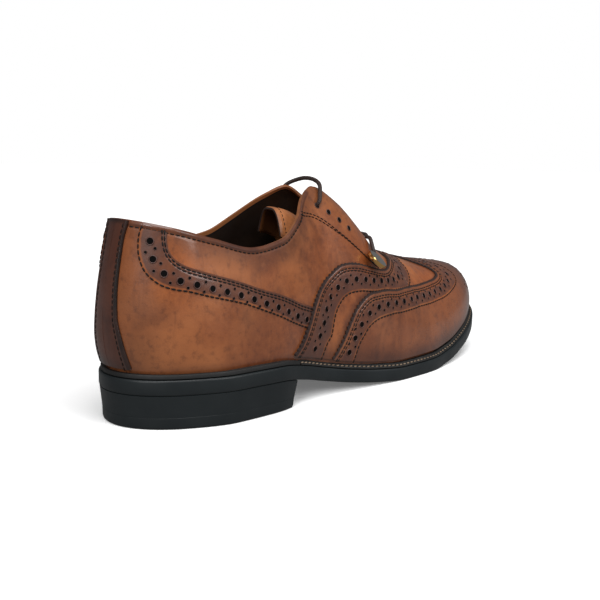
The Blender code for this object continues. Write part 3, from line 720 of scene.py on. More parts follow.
def weave_group() -> bpy.types.NodeTree:
    """Fine braid of a waxed lace, along the piece's own braid layers, with painted shade in its grooves.
    """
    tree, b, given, out = new_group("waxed_braid", [("Along", FLOAT, 0.0), ("Round", FLOAT, 0.0)],
                                    [("Height", FLOAT), ("Tone", FLOAT)])
    along, round_it = b.times(given.outputs[0], LACE_WAVE), b.times(given.outputs[1], LACE_STRANDS)
    height = b.times(b.math("SINE", b.math("ADD", along, round_it)),
                     b.math("SINE", b.math("SUBTRACT", along, round_it)))
    b.link(height, out.inputs[0])
    # painted shade: the colour share is low in the braid's grooves
    b.link(b.ramp(height, -0.8, 0.6), out.inputs[1])
    return tree


@dataclass(frozen=True)
class LeatherFinish:
    """Polished calf leather."""

    name: str
    light: Color
    middle: Color
    dark: Color
    # dark colour for burnishing and for painted shade beside raised edges
    burnish: Color
    warmth: Color
    roughness: float = 0.40
    coat: float = 0.5
    coat_roughness: float = 0.13
    shine: float = 0.4
    relief: float = 0.16
    bands: bool = False
    band_color: Color = (0.070, 0.024, 0.015)
    band_start: float = 4.4
    rim_color: Color = (0.014, 0.007, 0.006)

    def build(self, groups: dict[str, bpy.types.NodeTree]) -> bpy.types.Material:
        """The node material.

        Args:
            groups: shared node groups by name.

        Returns:
            The material.
        """
        material, b, shader = new_material(self.name, self.middle)
        place = b.add("ShaderNodeTexCoord").outputs["Object"]
        patina = b.group(groups["patina"], Place=place, Light=rgba(self.light),
                         Middle=rgba(self.middle), Dark=rgba(self.dark), Burnish=rgba(self.burnish),
                         Warmth=rgba(self.warmth), Burn=b.layer("burn"))
        color = patina.outputs["Color"]
        matt: object = 0.0
        if self.bands:
            reach, wide = b.layer("reach"), b.layer("wide")
            wobble = b.times(b.noise(place, 420.0, 2.0), 0.7)
            uneven = b.math("ADD", reach, wobble)
            inner = b.ramp(uneven, self.band_start, self.band_start + 0.9, 0.5)
            outer = b.ramp(b.math("SUBTRACT", wide, uneven), 0.2, 1.2)
            mottle = b.ramp(b.noise(place, 120.0, 4.0), 0.3, 0.75, 0.70, 1.0)
            color = b.mix(b.times(b.times(inner, outer), mottle), color, rgba(self.band_color))
            if self.band_start > 0.0:
                matt = b.ramp(b.math("ADD", reach, b.times(wobble, 1.2)), 1.25, 0.45)
                color = b.mix(b.times(matt, 0.96), color, rgba(self.rim_color))
        b.link(color, shader.inputs["Base Color"])
        rough = b.math("ADD", b.times(patina.outputs["Gloss"], 0.12), self.roughness - 0.06)
        b.link(b.math("MAXIMUM", rough, b.times(matt, 0.85)), shader.inputs["Roughness"])
        b.link(b.times(b.math("SUBTRACT", 1.0, matt), self.coat), shader.inputs["Coat Weight"])
        shader.inputs["Coat Roughness"].default_value = self.coat_roughness
        shader.inputs["Specular IOR Level"].default_value = self.shine
        grain = b.group(groups["grain"], Place=place)
        b.bump(shader, grain.outputs[0], self.relief)
        return material


@dataclass(frozen=True)
class PlainFinish:
    """Rubber, thread, metal, lining or edge dye with its own fine surface."""

    name: str
    color: Color
    second: Color
    roughness: float = 0.5
    metallic: float = 0.0
    patch: float = 90.0
    fine: float = 1400.0
    bump: float = 0.12
    shine: float = 0.5
    top_band: float = 0.0
    top_color: Color = (0.24, 0.085, 0.028)
    seam_color: Color = (0.004, 0.002, 0.002)

    def build(self) -> bpy.types.Material:
        """The node material."""
        material, b, shader = new_material(self.name, self.color)
        place = b.add("ShaderNodeTexCoord").outputs["Object"]
        share = b.ramp(b.noise(place, self.patch, 4.0), 0.35, 0.70)
        color = b.mix(share, rgba(self.color), rgba(self.second))
        if self.top_band > 0.0:
            below = b.layer("below")
            color = b.mix(b.ramp(below, self.top_band, self.top_band + 0.3), rgba(self.top_color), color)
            seam = b.times(b.ramp(below, self.top_band - 0.4, self.top_band),
                           b.ramp(below, self.top_band + 1.1, self.top_band + 0.6))
            color = b.mix(seam, color, rgba(self.seam_color))
        b.link(color, shader.inputs["Base Color"])
        b.link(b.ramp(b.noise(place, self.patch * 1.7, 3.0), 0.3, 0.7,
                      max(self.roughness - 0.06, 0.05), self.roughness + 0.07),
               shader.inputs["Roughness"])
        shader.inputs["Metallic"].default_value = self.metallic
        shader.inputs["Specular IOR Level"].default_value = self.shine
        b.bump(shader, b.noise(place, self.fine, 4.0, 0.6), self.bump)
        return material


@dataclass(frozen=True)
class LaceFinish:
    """Waxed round lace, braided, with painted shade in the braid's grooves."""

    name: str = "waxed_lace"
    color: Color = (0.045, 0.022, 0.017)
    # darker colour: painted shade in the braid's grooves
    second: Color = (0.012, 0.007, 0.006)

    def build(self, groups: dict[str, bpy.types.NodeTree]) -> bpy.types.Material:
        """The node material.

        Args:
            groups: shared node groups by name.

        Returns:
            The material.
        """
        material, b, shader = new_material(self.name)
        weave = b.group(groups["weave"], Along=b.layer("along"), Round=b.layer("around"))
        b.link(b.mix(weave.outputs["Tone"], rgba(self.second), rgba(self.color)),
               shader.inputs["Base Color"])
        shader.inputs["Roughness"].default_value = 0.55
        b.bump(shader, weave.outputs["Height"], 0.5, 0.0003)
        return material


class Wardrobe:
    """Every finish of the shoe, built once."""

    def __init__(self) -> None:
        """Builds the shared groups and all materials."""
        groups = {"grain": grain_group(), "patina": patina_group(), "weave": weave_group()}
        tan = dict(light=(0.37, 0.122, 0.038), middle=(0.220, 0.060, 0.017),
                   dark=(0.066, 0.018, 0.008), burnish=(0.040, 0.011, 0.007),
                   warmth=(0.34, 0.072, 0.006))
        leathers = (
            LeatherFinish("quarter_calf", **tan),
            LeatherFinish("vamp_calf", **tan, roughness=0.37),
            LeatherFinish("toe_calf", light=(0.26, 0.085, 0.032), middle=(0.175, 0.050, 0.017),
                          dark=(0.070, 0.021, 0.011), burnish=(0.040, 0.012, 0.008),
                          warmth=(0.22, 0.053, 0.009), roughness=0.30, coat=0.6),
            LeatherFinish("band_calf", **tan, bands=True),
            LeatherFinish("counter_calf", **tan, bands=True, band_start=-3.0),
            LeatherFinish("strip_calf", light=(0.085, 0.028, 0.016), middle=(0.056, 0.018, 0.011),
                          dark=(0.028, 0.009, 0.007), burnish=(0.010, 0.005, 0.004),
                          warmth=(0.085, 0.022, 0.008), roughness=0.36, coat=0.25),
            LeatherFinish("tongue_calf", light=(0.46, 0.17, 0.06), middle=(0.34, 0.105, 0.032),
                          dark=(0.15, 0.05, 0.02), burnish=(0.05, 0.018, 0.010),
                          warmth=(0.40, 0.11, 0.02), roughness=0.45, coat=0.1),
        )
        plain = (
            PlainFinish("lining_hide", (0.008, 0.0035, 0.0016), (0.015, 0.007, 0.0032), 0.62, bump=0.2,
                        top_band=2.2, shine=0.2),
            PlainFinish("rim_calf", (0.24, 0.085, 0.028), (0.17, 0.058, 0.020), 0.45, patch=200.0),
            PlainFinish("edge_dye", (0.020, 0.010, 0.008), (0.036, 0.016, 0.011), 0.6, patch=300.0),
            PlainFinish("insole_hide", (0.055, 0.030, 0.015), (0.085, 0.048, 0.024), 0.62, bump=0.2),
            PlainFinish("sole_black", (0.0105, 0.0135, 0.0150), (0.0140, 0.0175, 0.0190), 0.40,
                        patch=45.0, bump=0.05, shine=0.3),
            PlainFinish("heel_black", (0.0105, 0.0135, 0.0150), (0.0135, 0.0170, 0.0185), 0.40,
                        patch=40.0, bump=0.05, shine=0.3),
            PlainFinish("rand_black", (0.004, 0.004, 0.004), (0.007, 0.007, 0.007), 0.6),
            PlainFinish("welt_black", (0.0045, 0.0045, 0.0045), (0.011, 0.010, 0.009), 0.55,
                        patch=260.0, bump=0.3),
            PlainFinish("brown_thread", (0.0035, 0.0022, 0.0020), (0.009, 0.005, 0.004), 0.6,
                        fine=4000.0, bump=0.4, shine=0.25),
            PlainFinish("welt_thread", (0.23, 0.165, 0.110), (0.12, 0.080, 0.050), 0.7,
                        fine=4000.0, bump=0.5),
            # near-black disc in each punched hole: painted shade for the hole's depth
            PlainFinish("hole_dark", (0.0015, 0.0012, 0.0012), (0.004, 0.0035, 0.0035), 0.6,
                        shine=0.05),
            PlainFinish("hole_rim", (0.060, 0.024, 0.017), (0.105, 0.042, 0.030), 0.42),
            PlainFinish("disc_metal", (0.62, 0.36, 0.13), (0.45, 0.24, 0.07), 0.22, metallic=1.0,
                        bump=0.02),
            PlainFinish("disc_mirror", (0.80, 0.78, 0.74), (0.72, 0.68, 0.60), 0.06, metallic=1.0,
                        bump=0.0),
        )
        self.all = {one.name: one.build(groups) for one in leathers}
        self.all.update({one.name: one.build() for one in plain})
        self.all["waxed_lace"] = LaceFinish().build(groups)

    def __getitem__(self, name: str) -> bpy.types.Material:
        """A finish by its name."""
        return self.all[name]


# --------------------------------------------------------------------------- repeats
class RepeatKind(Enum):
    """What a repeat tree places."""

    STITCH = "stitch"
    RIM = "rim"
    WELL = "well"


class Repeats:
    """Geometry-node trees for stitches and perforations."""

    def __init__(self, maker: Maker) -> None:
        """Builds the three trees."""
        self.maker = maker
        self.trees = {kind: self._tree(kind) for kind in RepeatKind}

    def _tree(self, kind: RepeatKind) -> bpy.types.NodeTree:
        """One tree: points, turned to the surface, carry a small shape."""
        tree = bpy.data.node_groups.new("place_" + kind.value, "GeometryNodeTree")
        side = tree.interface
        side.new_socket(name="Geometry", in_out="INPUT", socket_type="NodeSocketGeometry")
        for label, value in (("Pitch", 0.003), ("Length", 0.002), ("Width", 0.0006),
                             ("Height", 0.0005)):
            side.new_socket(name=label, in_out="INPUT", socket_type=FLOAT).default_value = value
        side.new_socket(name="Finish", in_out="INPUT", socket_type="NodeSocketMaterial")
        side.new_socket(name="Geometry", in_out="OUTPUT", socket_type="NodeSocketGeometry")
        add, link = tree.nodes.new, tree.links.new
        given, out = add("NodeGroupInput"), add("NodeGroupOutput")

        def layer(name: str, kind_of: str) -> object:
            """A layer of the points."""
            node = add("GeometryNodeInputNamedAttribute")
            node.data_type = kind_of
            node.inputs["Name"].default_value = name
            return node.outputs["Attribute"]

        upright = add("FunctionNodeAlignRotationToVector")
        upright.axis = "Z"
        link(layer("nrm", "FLOAT_VECTOR"), upright.inputs["Vector"])
        turned = add("FunctionNodeAlignRotationToVector")
        turned.axis = "X"
        turned.pivot_axis = "Z"
        link(upright.outputs[0], turned.inputs["Rotation"])
        link(layer("tan", "FLOAT_VECTOR"), turned.inputs["Vector"])
        place = add("GeometryNodeInstanceOnPoints")
        link(turned.outputs[0], place.inputs["Rotation"])
        points = given.outputs["Geometry"]
        if kind is RepeatKind.STITCH:
            curve = add("GeometryNodeMeshToCurve")
            link(points, curve.inputs[0])
            spaced = add("GeometryNodeResampleCurve")
            spaced.mode = "LENGTH"
            link(curve.outputs[0], spaced.inputs["Curve"])
            link(given.outputs["Pitch"], spaced.inputs["Length"])
            points = spaced.outputs[0]
        else:
            link(layer("size", "FLOAT"), place.inputs["Scale"])
        link(points, place.inputs["Points"])
        link(self._shape(tree, given, kind), place.inputs["Instance"])
        real = add("GeometryNodeRealizeInstances")
        link(place.outputs[0], real.inputs[0])
        soft = add("GeometryNodeSetShadeSmooth")
        link(real.outputs[0], soft.inputs[0])
        dress = add("GeometryNodeSetMaterial")
        link(soft.outputs[0], dress.inputs["Geometry"])
        link(given.outputs["Finish"], dress.inputs["Material"])
        link(dress.outputs[0], out.inputs[0])
        return tree

    @staticmethod
    def _shape(tree: bpy.types.NodeTree, given: bpy.types.Node, kind: RepeatKind) -> object:
        """The small shape that is placed."""
        add, link = tree.nodes.new, tree.links.new
        size = add("ShaderNodeCombineXYZ")
        for slot, label in zip(size.inputs, ("Length", "Width", "Height")):
            link(given.outputs[label], slot)
        scaled = add("GeometryNodeTransform")
        link(size.outputs[0], scaled.inputs["Scale"])

        def shape(type_of: str, **values: object) -> bpy.types.Node:
            """A node with its inputs linked or set."""
            node = add(type_of)
            for label, value in values.items():
                socket = node.inputs[label.replace("_", " ")]
                if isinstance(value, bpy.types.NodeSocket):
                    link(value, socket)
                else:
                    socket.default_value = value
            return node

        if kind is RepeatKind.STITCH:
            made = shape("GeometryNodeMeshUVSphere", Segments=8, Rings=4, Radius=0.5)
        else:
            ring = shape("GeometryNodeCurvePrimitiveCircle", Resolution=14, Radius=0.5)
            if kind is RepeatKind.RIM:
                profile = shape("GeometryNodeCurvePrimitiveCircle", Resolution=5, Radius=0.085)
                made = shape("GeometryNodeCurveToMesh", Curve=ring.outputs[0],
                             Profile_Curve=profile.outputs[0])
            else:
                made = shape("GeometryNodeFillCurve", Curve=ring.outputs[0])
        link(made.outputs[0], scaled.inputs["Geometry"])
        return scaled.outputs[0]

    def place(self, name: str, kind: RepeatKind, lines: Marks,
              sizes: dict[str, float], finish: bpy.types.Material) -> bpy.types.Object:
        """Runs a tree over lines or points and keeps the plain mesh.

        Args:
            name: piece name.
            kind: which tree.
            lines: for each line its points in working mm, normals, and sizes per point.
            sizes: values of the tree's named inputs, in metres.
            finish: material of the placed shapes.

        Returns:
            The finished piece.
        """
        points, normals, tangents, scales, edges = [], [], [], [], []
        start = 0
        for line, normal, scale in lines:
            points.append(self.maker.last.world(line))
            normals.append(normal)
            scales.append(np.broadcast_to(scale, len(line)))
            tangent = np.gradient(line, axis=0) if len(line) > 1 else np.array([[1.0, 0.0, 0.0]])
            tangents.append(unit(tangent))
            if kind is RepeatKind.STITCH:
                edges += [(start + i, start + i + 1) for i in range(len(line) - 1)]
            start += len(line)
        mesh = bpy.data.meshes.new(name + "_guide")
        mesh.from_pydata([tuple(p) for p in np.vstack(points)], edges, [])
        for label, values in (("nrm", normals), ("tan", tangents)):
            layer = mesh.attributes.new(label, "FLOAT_VECTOR", "POINT")
            layer.data.foreach_set("vector", np.vstack(values).astype(np.float32).ravel())
        layer = mesh.attributes.new("size", "FLOAT", "POINT")
        layer.data.foreach_set("value", np.concatenate(scales).astype(np.float32))
        guide = link_new(name + "_guide", mesh)
        modifier = guide.modifiers.new("repeat", "NODES")
        modifier.node_group = self.trees[kind]
        for socket in self.trees[kind].interface.items_tree:
            if socket.in_out == "INPUT" and socket.name in sizes:
                modifier[socket.identifier] = sizes[socket.name]
            if socket.in_out == "INPUT" and socket.name == "Finish":
                modifier[socket.identifier] = finish
        graph = bpy.context.evaluated_depsgraph_get()
        result = bpy.data.meshes.new_from_object(guide.evaluated_get(graph))
        bpy.data.objects.remove(guide)
        result.name = name
        for label in ("nrm", "tan", "size"):
            if label in result.attributes:
                result.attributes.remove(result.attributes[label])
        return self.maker.keep(link_new(name, result))

    def stitches(self, name: str, lines: Marks, finish: bpy.types.Material, pitch: float,
                 length: float, width: float, height: float) -> None:
        """Stitches along rows; sizes in mm."""
        self.place(name, RepeatKind.STITCH, lines,
                   {"Pitch": pitch * MM, "Length": length * MM, "Width": width * MM,
                    "Height": height * MM}, finish)


# --------------------------------------------------------------------------- sole
@dataclass
class SoleUnit:
    """Heel, outsole, stitched welt and heel rand.

    sole_levels: set-in, share of the sole's thickness, mm above it. heel_levels:
    set-in, share of the heel's height.
    """

    maker: Maker
    finishes: Wardrobe
    heel_length: float = 88.0
    breast_lean: float = 2.6
    welt_thick: float = 2.7
    welt_set_in: float = 0.9
    welt_start: float = 92.0
    rand_thick: float = 2.3
    rand_set_in: float = 1.0
    rand_end: float = 90.5
    gap: float = 0.3
    heel_gap: float = 0.06
    stitch_pitch: float = 3.3
    shelf: float = 1.25
    edging_start: float = 0.5
    sole_levels: Rows = (
        (0.9, 0.0, 0.0), (0.45, 0.0, 0.12), (0.15, 0.0, 0.45), (0.0, 0.0, 1.0), (0.0, 0.0, 3.4),
        (0.0, 0.0, 6.5), (0.15, 0.0, 7.1), (0.5, 1.0, 0.0))
    heel_levels: Rows = (
        (3.0, 0.0), (2.2, 0.008), (1.75, 0.04), (1.5, 0.09), (1.4, 0.34), (1.48, 0.345),
        (1.48, 0.352), (1.36, 0.357), (0.9, 0.65), (0.35, 0.95), (0.3, 0.985), (0.7, 1.0))

    def build(self, repeats: Repeats) -> None:
        """All pieces of the sole unit."""
        self.outsole()
        self.heel()
        self.edging("rand_piece", "heel_rand", self.rand_end, self.rand_set_in, self.rand_thick,
                    "rand_black", rear=True)
        self.edging("welt_piece", "welt", self.welt_start, self.welt_set_in, self.welt_thick,
                    "welt_black", rear=False)
        self.welt_stitches(repeats)

    def outline(self, x: Array, inset: float, z: Array) -> Array:
        """The sole's edge, set in, as a closed ring at given heights."""
        last = self.maker.last
        near = np.stack([x, last.sole_edge(x, -1, inset), z], 1)
        far = np.stack([x, last.sole_edge(x, 1, inset), z], 1)
        return np.vstack([near, far[::-1]])

    def block(self, name: str, rings: list[Array], finish: str, node: str,
              sharp: float = 40.0) -> None:
        """Closed block from stacked outlines, with both ends capped across."""
        count = len(rings[0])
        half = count // 2
        faces = self.maker.grid(len(rings), count, wrap=True)
        for level, flip in ((0, False), (len(rings) - 1, True)):
            start = level * count
            for i in range(half - 1):
                quad = (start + i, start + count - 1 - i, start + count - 2 - i, start + i + 1)
                faces.append(tuple(reversed(quad)) if flip else quad)
        obj = self.maker.piece(name, np.vstack(rings), faces, [self.finishes[finish]], sharp=sharp)
        tidy(obj)
        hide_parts(node)

    def outsole(self) -> None:
        """Full-length sole layer with a rounded tread edge and a softened top edge."""
        last = self.maker.last
        base = last.sole_length * half_wave(150)
        rings = []
        for inset, share, up in self.sole_levels:
            x = inset + (last.sole_length - 2 * inset) * base / last.sole_length
            rings.append(self.outline(x, inset, last.sole_bottom(base) + share * last.sole_thick + up))
        self.block("outsole_piece", rings, "sole_black", "outsole")

    def heel(self) -> None:
        """Heel block with its top piece marked by a fine line."""
        last = self.maker.last
        t = np.linspace(0.0, 1.0, 80)
        rings = []
        for inset, share in self.heel_levels:
            end = self.heel_length - self.breast_lean * (1.0 - share)
            x = inset + (end - inset) * (1.0 - np.cos(np.pi * t / 2.0))
            rings.append(self.outline(x, inset, (last.sole_bottom(x) - self.heel_gap) * share))
        self.block("heel_piece", rings, "heel_black", "heel")

    def edge_reach(self, p: float, side: int, set_in: float) -> float:
        """Distance from the feather line out to the sole's edge less set_in."""
        last = self.maker.last
        x = last.sole_length * half_wave(700)
        line = self.outline(x, 0.0, x)[:, :2]
        xf = float(last.feather_x(p))
        foot = np.array([xf, float(last.feather_y(xf, side))])
        return float(np.linalg.norm(line - foot, axis=1).min()) - set_in

    def stations(self, end: float, rear: bool, count: int) -> list[tuple[float, int]]:
        """Places along the feather line, round the heel or round the toe."""
        last = self.maker.last
        stop = float(last.feather_p(end))
        ps = np.linspace(0.0, stop, count) if rear else np.linspace(1.0, stop, count)
        return [(float(p), -1) for p in ps[::-1]] + [(float(p), 1) for p in ps[1:]]

    def corner(self, p: float, side: int, out_by: float, rise: float) -> Array:
        """Point beside the upper's foot, out_by mm out and rise mm over the sole."""
        last = self.maker.last
        one = np.array([p])
        nx, ny = last.feather_out(one, side)
        xf = float(last.feather_x(p))
        x = xf + float(nx[0]) * out_by
        y = float(last.feather_y(xf, side)) + float(ny[0]) * out_by
        return np.array([x, y, float(last.sole_top(x)) + self.gap + rise])

    def edging(self, name: str, node: str, end: float, set_in: float, thick: float, finish: str,
               rear: bool) -> None:
        """Strip laid on the sole beside the upper's foot."""
        rings = []
        path = self.stations(end, rear, 60 if rear else 100)
        for index, (p, side) in enumerate(path):
            reach = self.edge_reach(p, side, set_in)
            rough = 0.18 * math.sin(index * 2.3) * math.sin(index * 0.7)
            low = thick if rear else self.shelf
            inner = self.edging_start
            step = reach * 0.5 if rear else reach - 1.5
            corners = ((inner, 0.0), (reach - 0.3, 0.0), (reach, 0.3), (reach, low - 0.5 + rough),
                       (reach - 0.2, low - 0.1), (step, low + 0.3 * rough),
                       (step - 0.5, thick - 0.3 + 0.5 * rough), (step - 0.9, thick),
                       (inner, thick))
            rings.append(np.array([self.corner(p, side, a, b) for a, b in corners]))
        obj = self.maker.piece(name, *self.maker.rings(rings), [self.finishes[finish]])
        tidy(obj)
        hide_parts(node)

    def welt_stitches(self, repeats: Repeats) -> None:
        """Pale stitches along the welt's upper face."""
        line = []
        for p, side in self.stations(self.welt_start + 1.5, False, 160):
            reach = self.edge_reach(p, side, self.welt_set_in)
            line.append(self.corner(p, side, reach - 0.75, self.shelf + 0.15))
        line = np.array(line)
        normal = np.tile([0.0, 0.0, 1.0], (len(line), 1))
        repeats.stitches("welt_stitches", [(line, normal, 1.0)], self.finishes["welt_thread"],
                         self.stitch_pitch, 2.4, 0.95, 0.85)


def tidy(obj: bpy.types.Object) -> None:
    """Merges doubled points of a closed piece and turns its faces outwards."""
    work = bmesh.new()
    work.from_mesh(obj.data)
    bmesh.ops.remove_doubles(work, verts=work.verts, dist=0.000002)
    bmesh.ops.dissolve_degenerate(work, edges=work.edges, dist=0.000001)
    bmesh.ops.recalc_face_normals(work, faces=work.faces)
    closed = not any(edge.is_boundary for edge in work.edges)
    if closed and work.calc_volume(signed=True) < 0.0:
        bmesh.ops.reverse_faces(work, faces=work.faces)
    work.to_mesh(obj.data)
    work.free()
    obj.data.update()


# --------------------------------------------------------------------------- upper
@dataclass
class Quarters:
    """The hollow upper: quarters, facings, collar and lining."""

    maker: Maker
    finishes: Wardrobe
    wall: float = 2.0
    outer_leather: float = 1.2
    collar_end: float = 118.0
    no_edge: float = 40.0

    def stations(self, count: int) -> Array:
        """Places along the shoe, closer together at the throat's end."""
        last = self.maker.last
        throat_x = float(np.interp(last.throat_end, [row[1] for row in last.upper_rows],
                                   [row[0] for row in last.upper_rows]))
        throat = float(last.feather_p(throat_x))
        places = np.linspace(0.0, 1.0, count)
        places[int(np.argmin(np.abs(places - throat)))] = throat
        return np.sort(np.append(places, throat - np.array([0.002, 0.005, 0.009, 0.014])))

    def build(self) -> None:
        """Outer leather with its rolled collar edge, and the lining."""
        last = self.maker.last
        places = self.stations(190)
        shares = np.unique(np.r_[np.linspace(0.0, 0.9, 52), np.linspace(0.9, 1.0, 22)])
        p, v = np.meshgrid(places, shares, indexing="ij")
        x = last.feather_x(p)
        tops = table(last.upper_rows, 1, x)
        open_top = tops < last.throat_end + 1.0

        def sheet(side: int) -> dict[str, Array]:
            """Outer leather of one side."""
            points = last.point(p, v, side)
            step = np.linalg.norm(np.diff(points, axis=1), axis=2)
            run = np.concatenate([np.zeros((len(places), 1)), np.cumsum(step, axis=1)], axis=1)
            below = run[:, -1:] - run
            top = np.where(open_top, below, self.no_edge)
            edge = bell(top, 0.0, 0.7)
            groove = np.where(x < self.collar_end, bell(top, last.collar_row, 0.7), 0.0)
            roll = np.where(x < self.collar_end, bell(top, 1.4, 1.0), 0.0)
            out = -0.45 * edge + 0.18 * roll - 0.24 * groove
            collar = np.where(x < self.collar_end + 6.0, 0.85 * (1.0 - smooth_step(top, 2.3, 3.2)), 0.0)
            collar = np.maximum(collar, 0.6 * (1.0 - smooth_step(top, 0.3, 1.6)))
            glow = 0.55 * (1.0 - smooth_step(top, 3.0, 17.0))
            low = 0.5 * (1.0 - smooth_step(run, 1.0, 9.0))
            heel = 0.35 * (1.0 - smooth_step(x, 8.0, 20.0))
            heel = heel + 0.30 * bell(x, 60.0, 16.0) * bell(v, 0.42, 0.30)
            # shadow is painted shade low on the quarter beside the vamp's rear edge; one layer carries it
            # together with the darkening of the collar band, top, foot and heel
            shadow = 0.55 * bell(x, 108.0, 7.0) * (1.0 - smooth_step(v, 0.30, 0.44))
            burn = np.clip(np.maximum.reduce([collar, glow, low, heel, shadow]), 0.0, 1.0)
            return {"p": p, "v": v, "out": out, "into": np.full(p.shape, -self.outer_leather),
                    "burn": burn, "below": top}

        def lining(side: int) -> dict[str, Array]:
            """Lining of one side, rolled up to the collar edge."""
            return {"p": p, "v": v, "out": np.full(p.shape, -self.outer_leather + 0.25),
                    "into": np.full(p.shape, -self.wall - 0.1), "below": sheet(side)["below"]}

        quarter, rim = self.finishes["quarter_calf"], self.finishes["rim_calf"]
        hide = self.finishes["lining_hide"]
        obj = self.maker.both_sides("upper_leather_piece", sheet, [quarter, hide, rim], 60.0)
        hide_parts("upper")
        self.maker.both_sides("lining_piece", lining, [hide, hide, rim], 60.0)


@dataclass
class BackStrip:
    """Dark strip over the rear seam."""

    maker: Maker
    finishes: Wardrobe
    lift: float = 0.25
    thick: float = 1.15
    row_share: float = 0.74
    edge_rows: Rows = ((0.0, 7.2), (0.18, 6.2), (0.35, 5.5), (0.6, 5.3), (0.85, 5.4), (1.0, 6.0))

    def edge_p(self, w: Array, share: float = 1.0) -> Array:
        """p of the strip's edge, or of a share of the way to it."""
        return self.maker.last.feather_p(table(self.edge_rows, 1, w)) * share

    def build(self) -> None:
        """The strip, thicker at its turned edges."""
        last = self.maker.last
        shares = np.linspace(0.0, 0.992, 70)
        across = np.array([0.0, 0.15, 0.3, 0.45, 0.6, 0.7, 0.78, 0.84, 0.89, 0.93, 0.96, 0.985, 1.0])

        def sheet(side: int) -> dict[str, Array]:
            """One half of the strip."""
            p = self.edge_p(shares)[:, None] * across[None, :]
            v = last.overlay_grid(p, shares, side)
            share = np.broadcast_to(across, p.shape)
            edge = np.clip((share - 0.93) / 0.07, 0.0, 1.0)
            out = self.lift + self.thick * np.sqrt(np.maximum(1.0 - edge ** 2, 0.0))
            out = out - 0.25 * bell(share, self.row_share, 0.05) + 0.25 * bell(share, 0.88, 0.06)
            foot = 0.5 * (1.0 - smooth_step(shares, 0.0, 0.1))[:, None]
            top = 0.8 * smooth_step(shares, 0.955, 0.985)[:, None]
            burn = np.maximum(np.maximum(smooth_step(share, 0.80, 0.88), foot), top)
            return {"p": p, "v": v, "out": out, "into": np.full(p.shape, 0.05), "burn": burn}

        obj = self.maker.both_sides("back_strip_piece", sheet, [self.finishes["strip_calf"]], 60.0)
        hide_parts("back_strip")


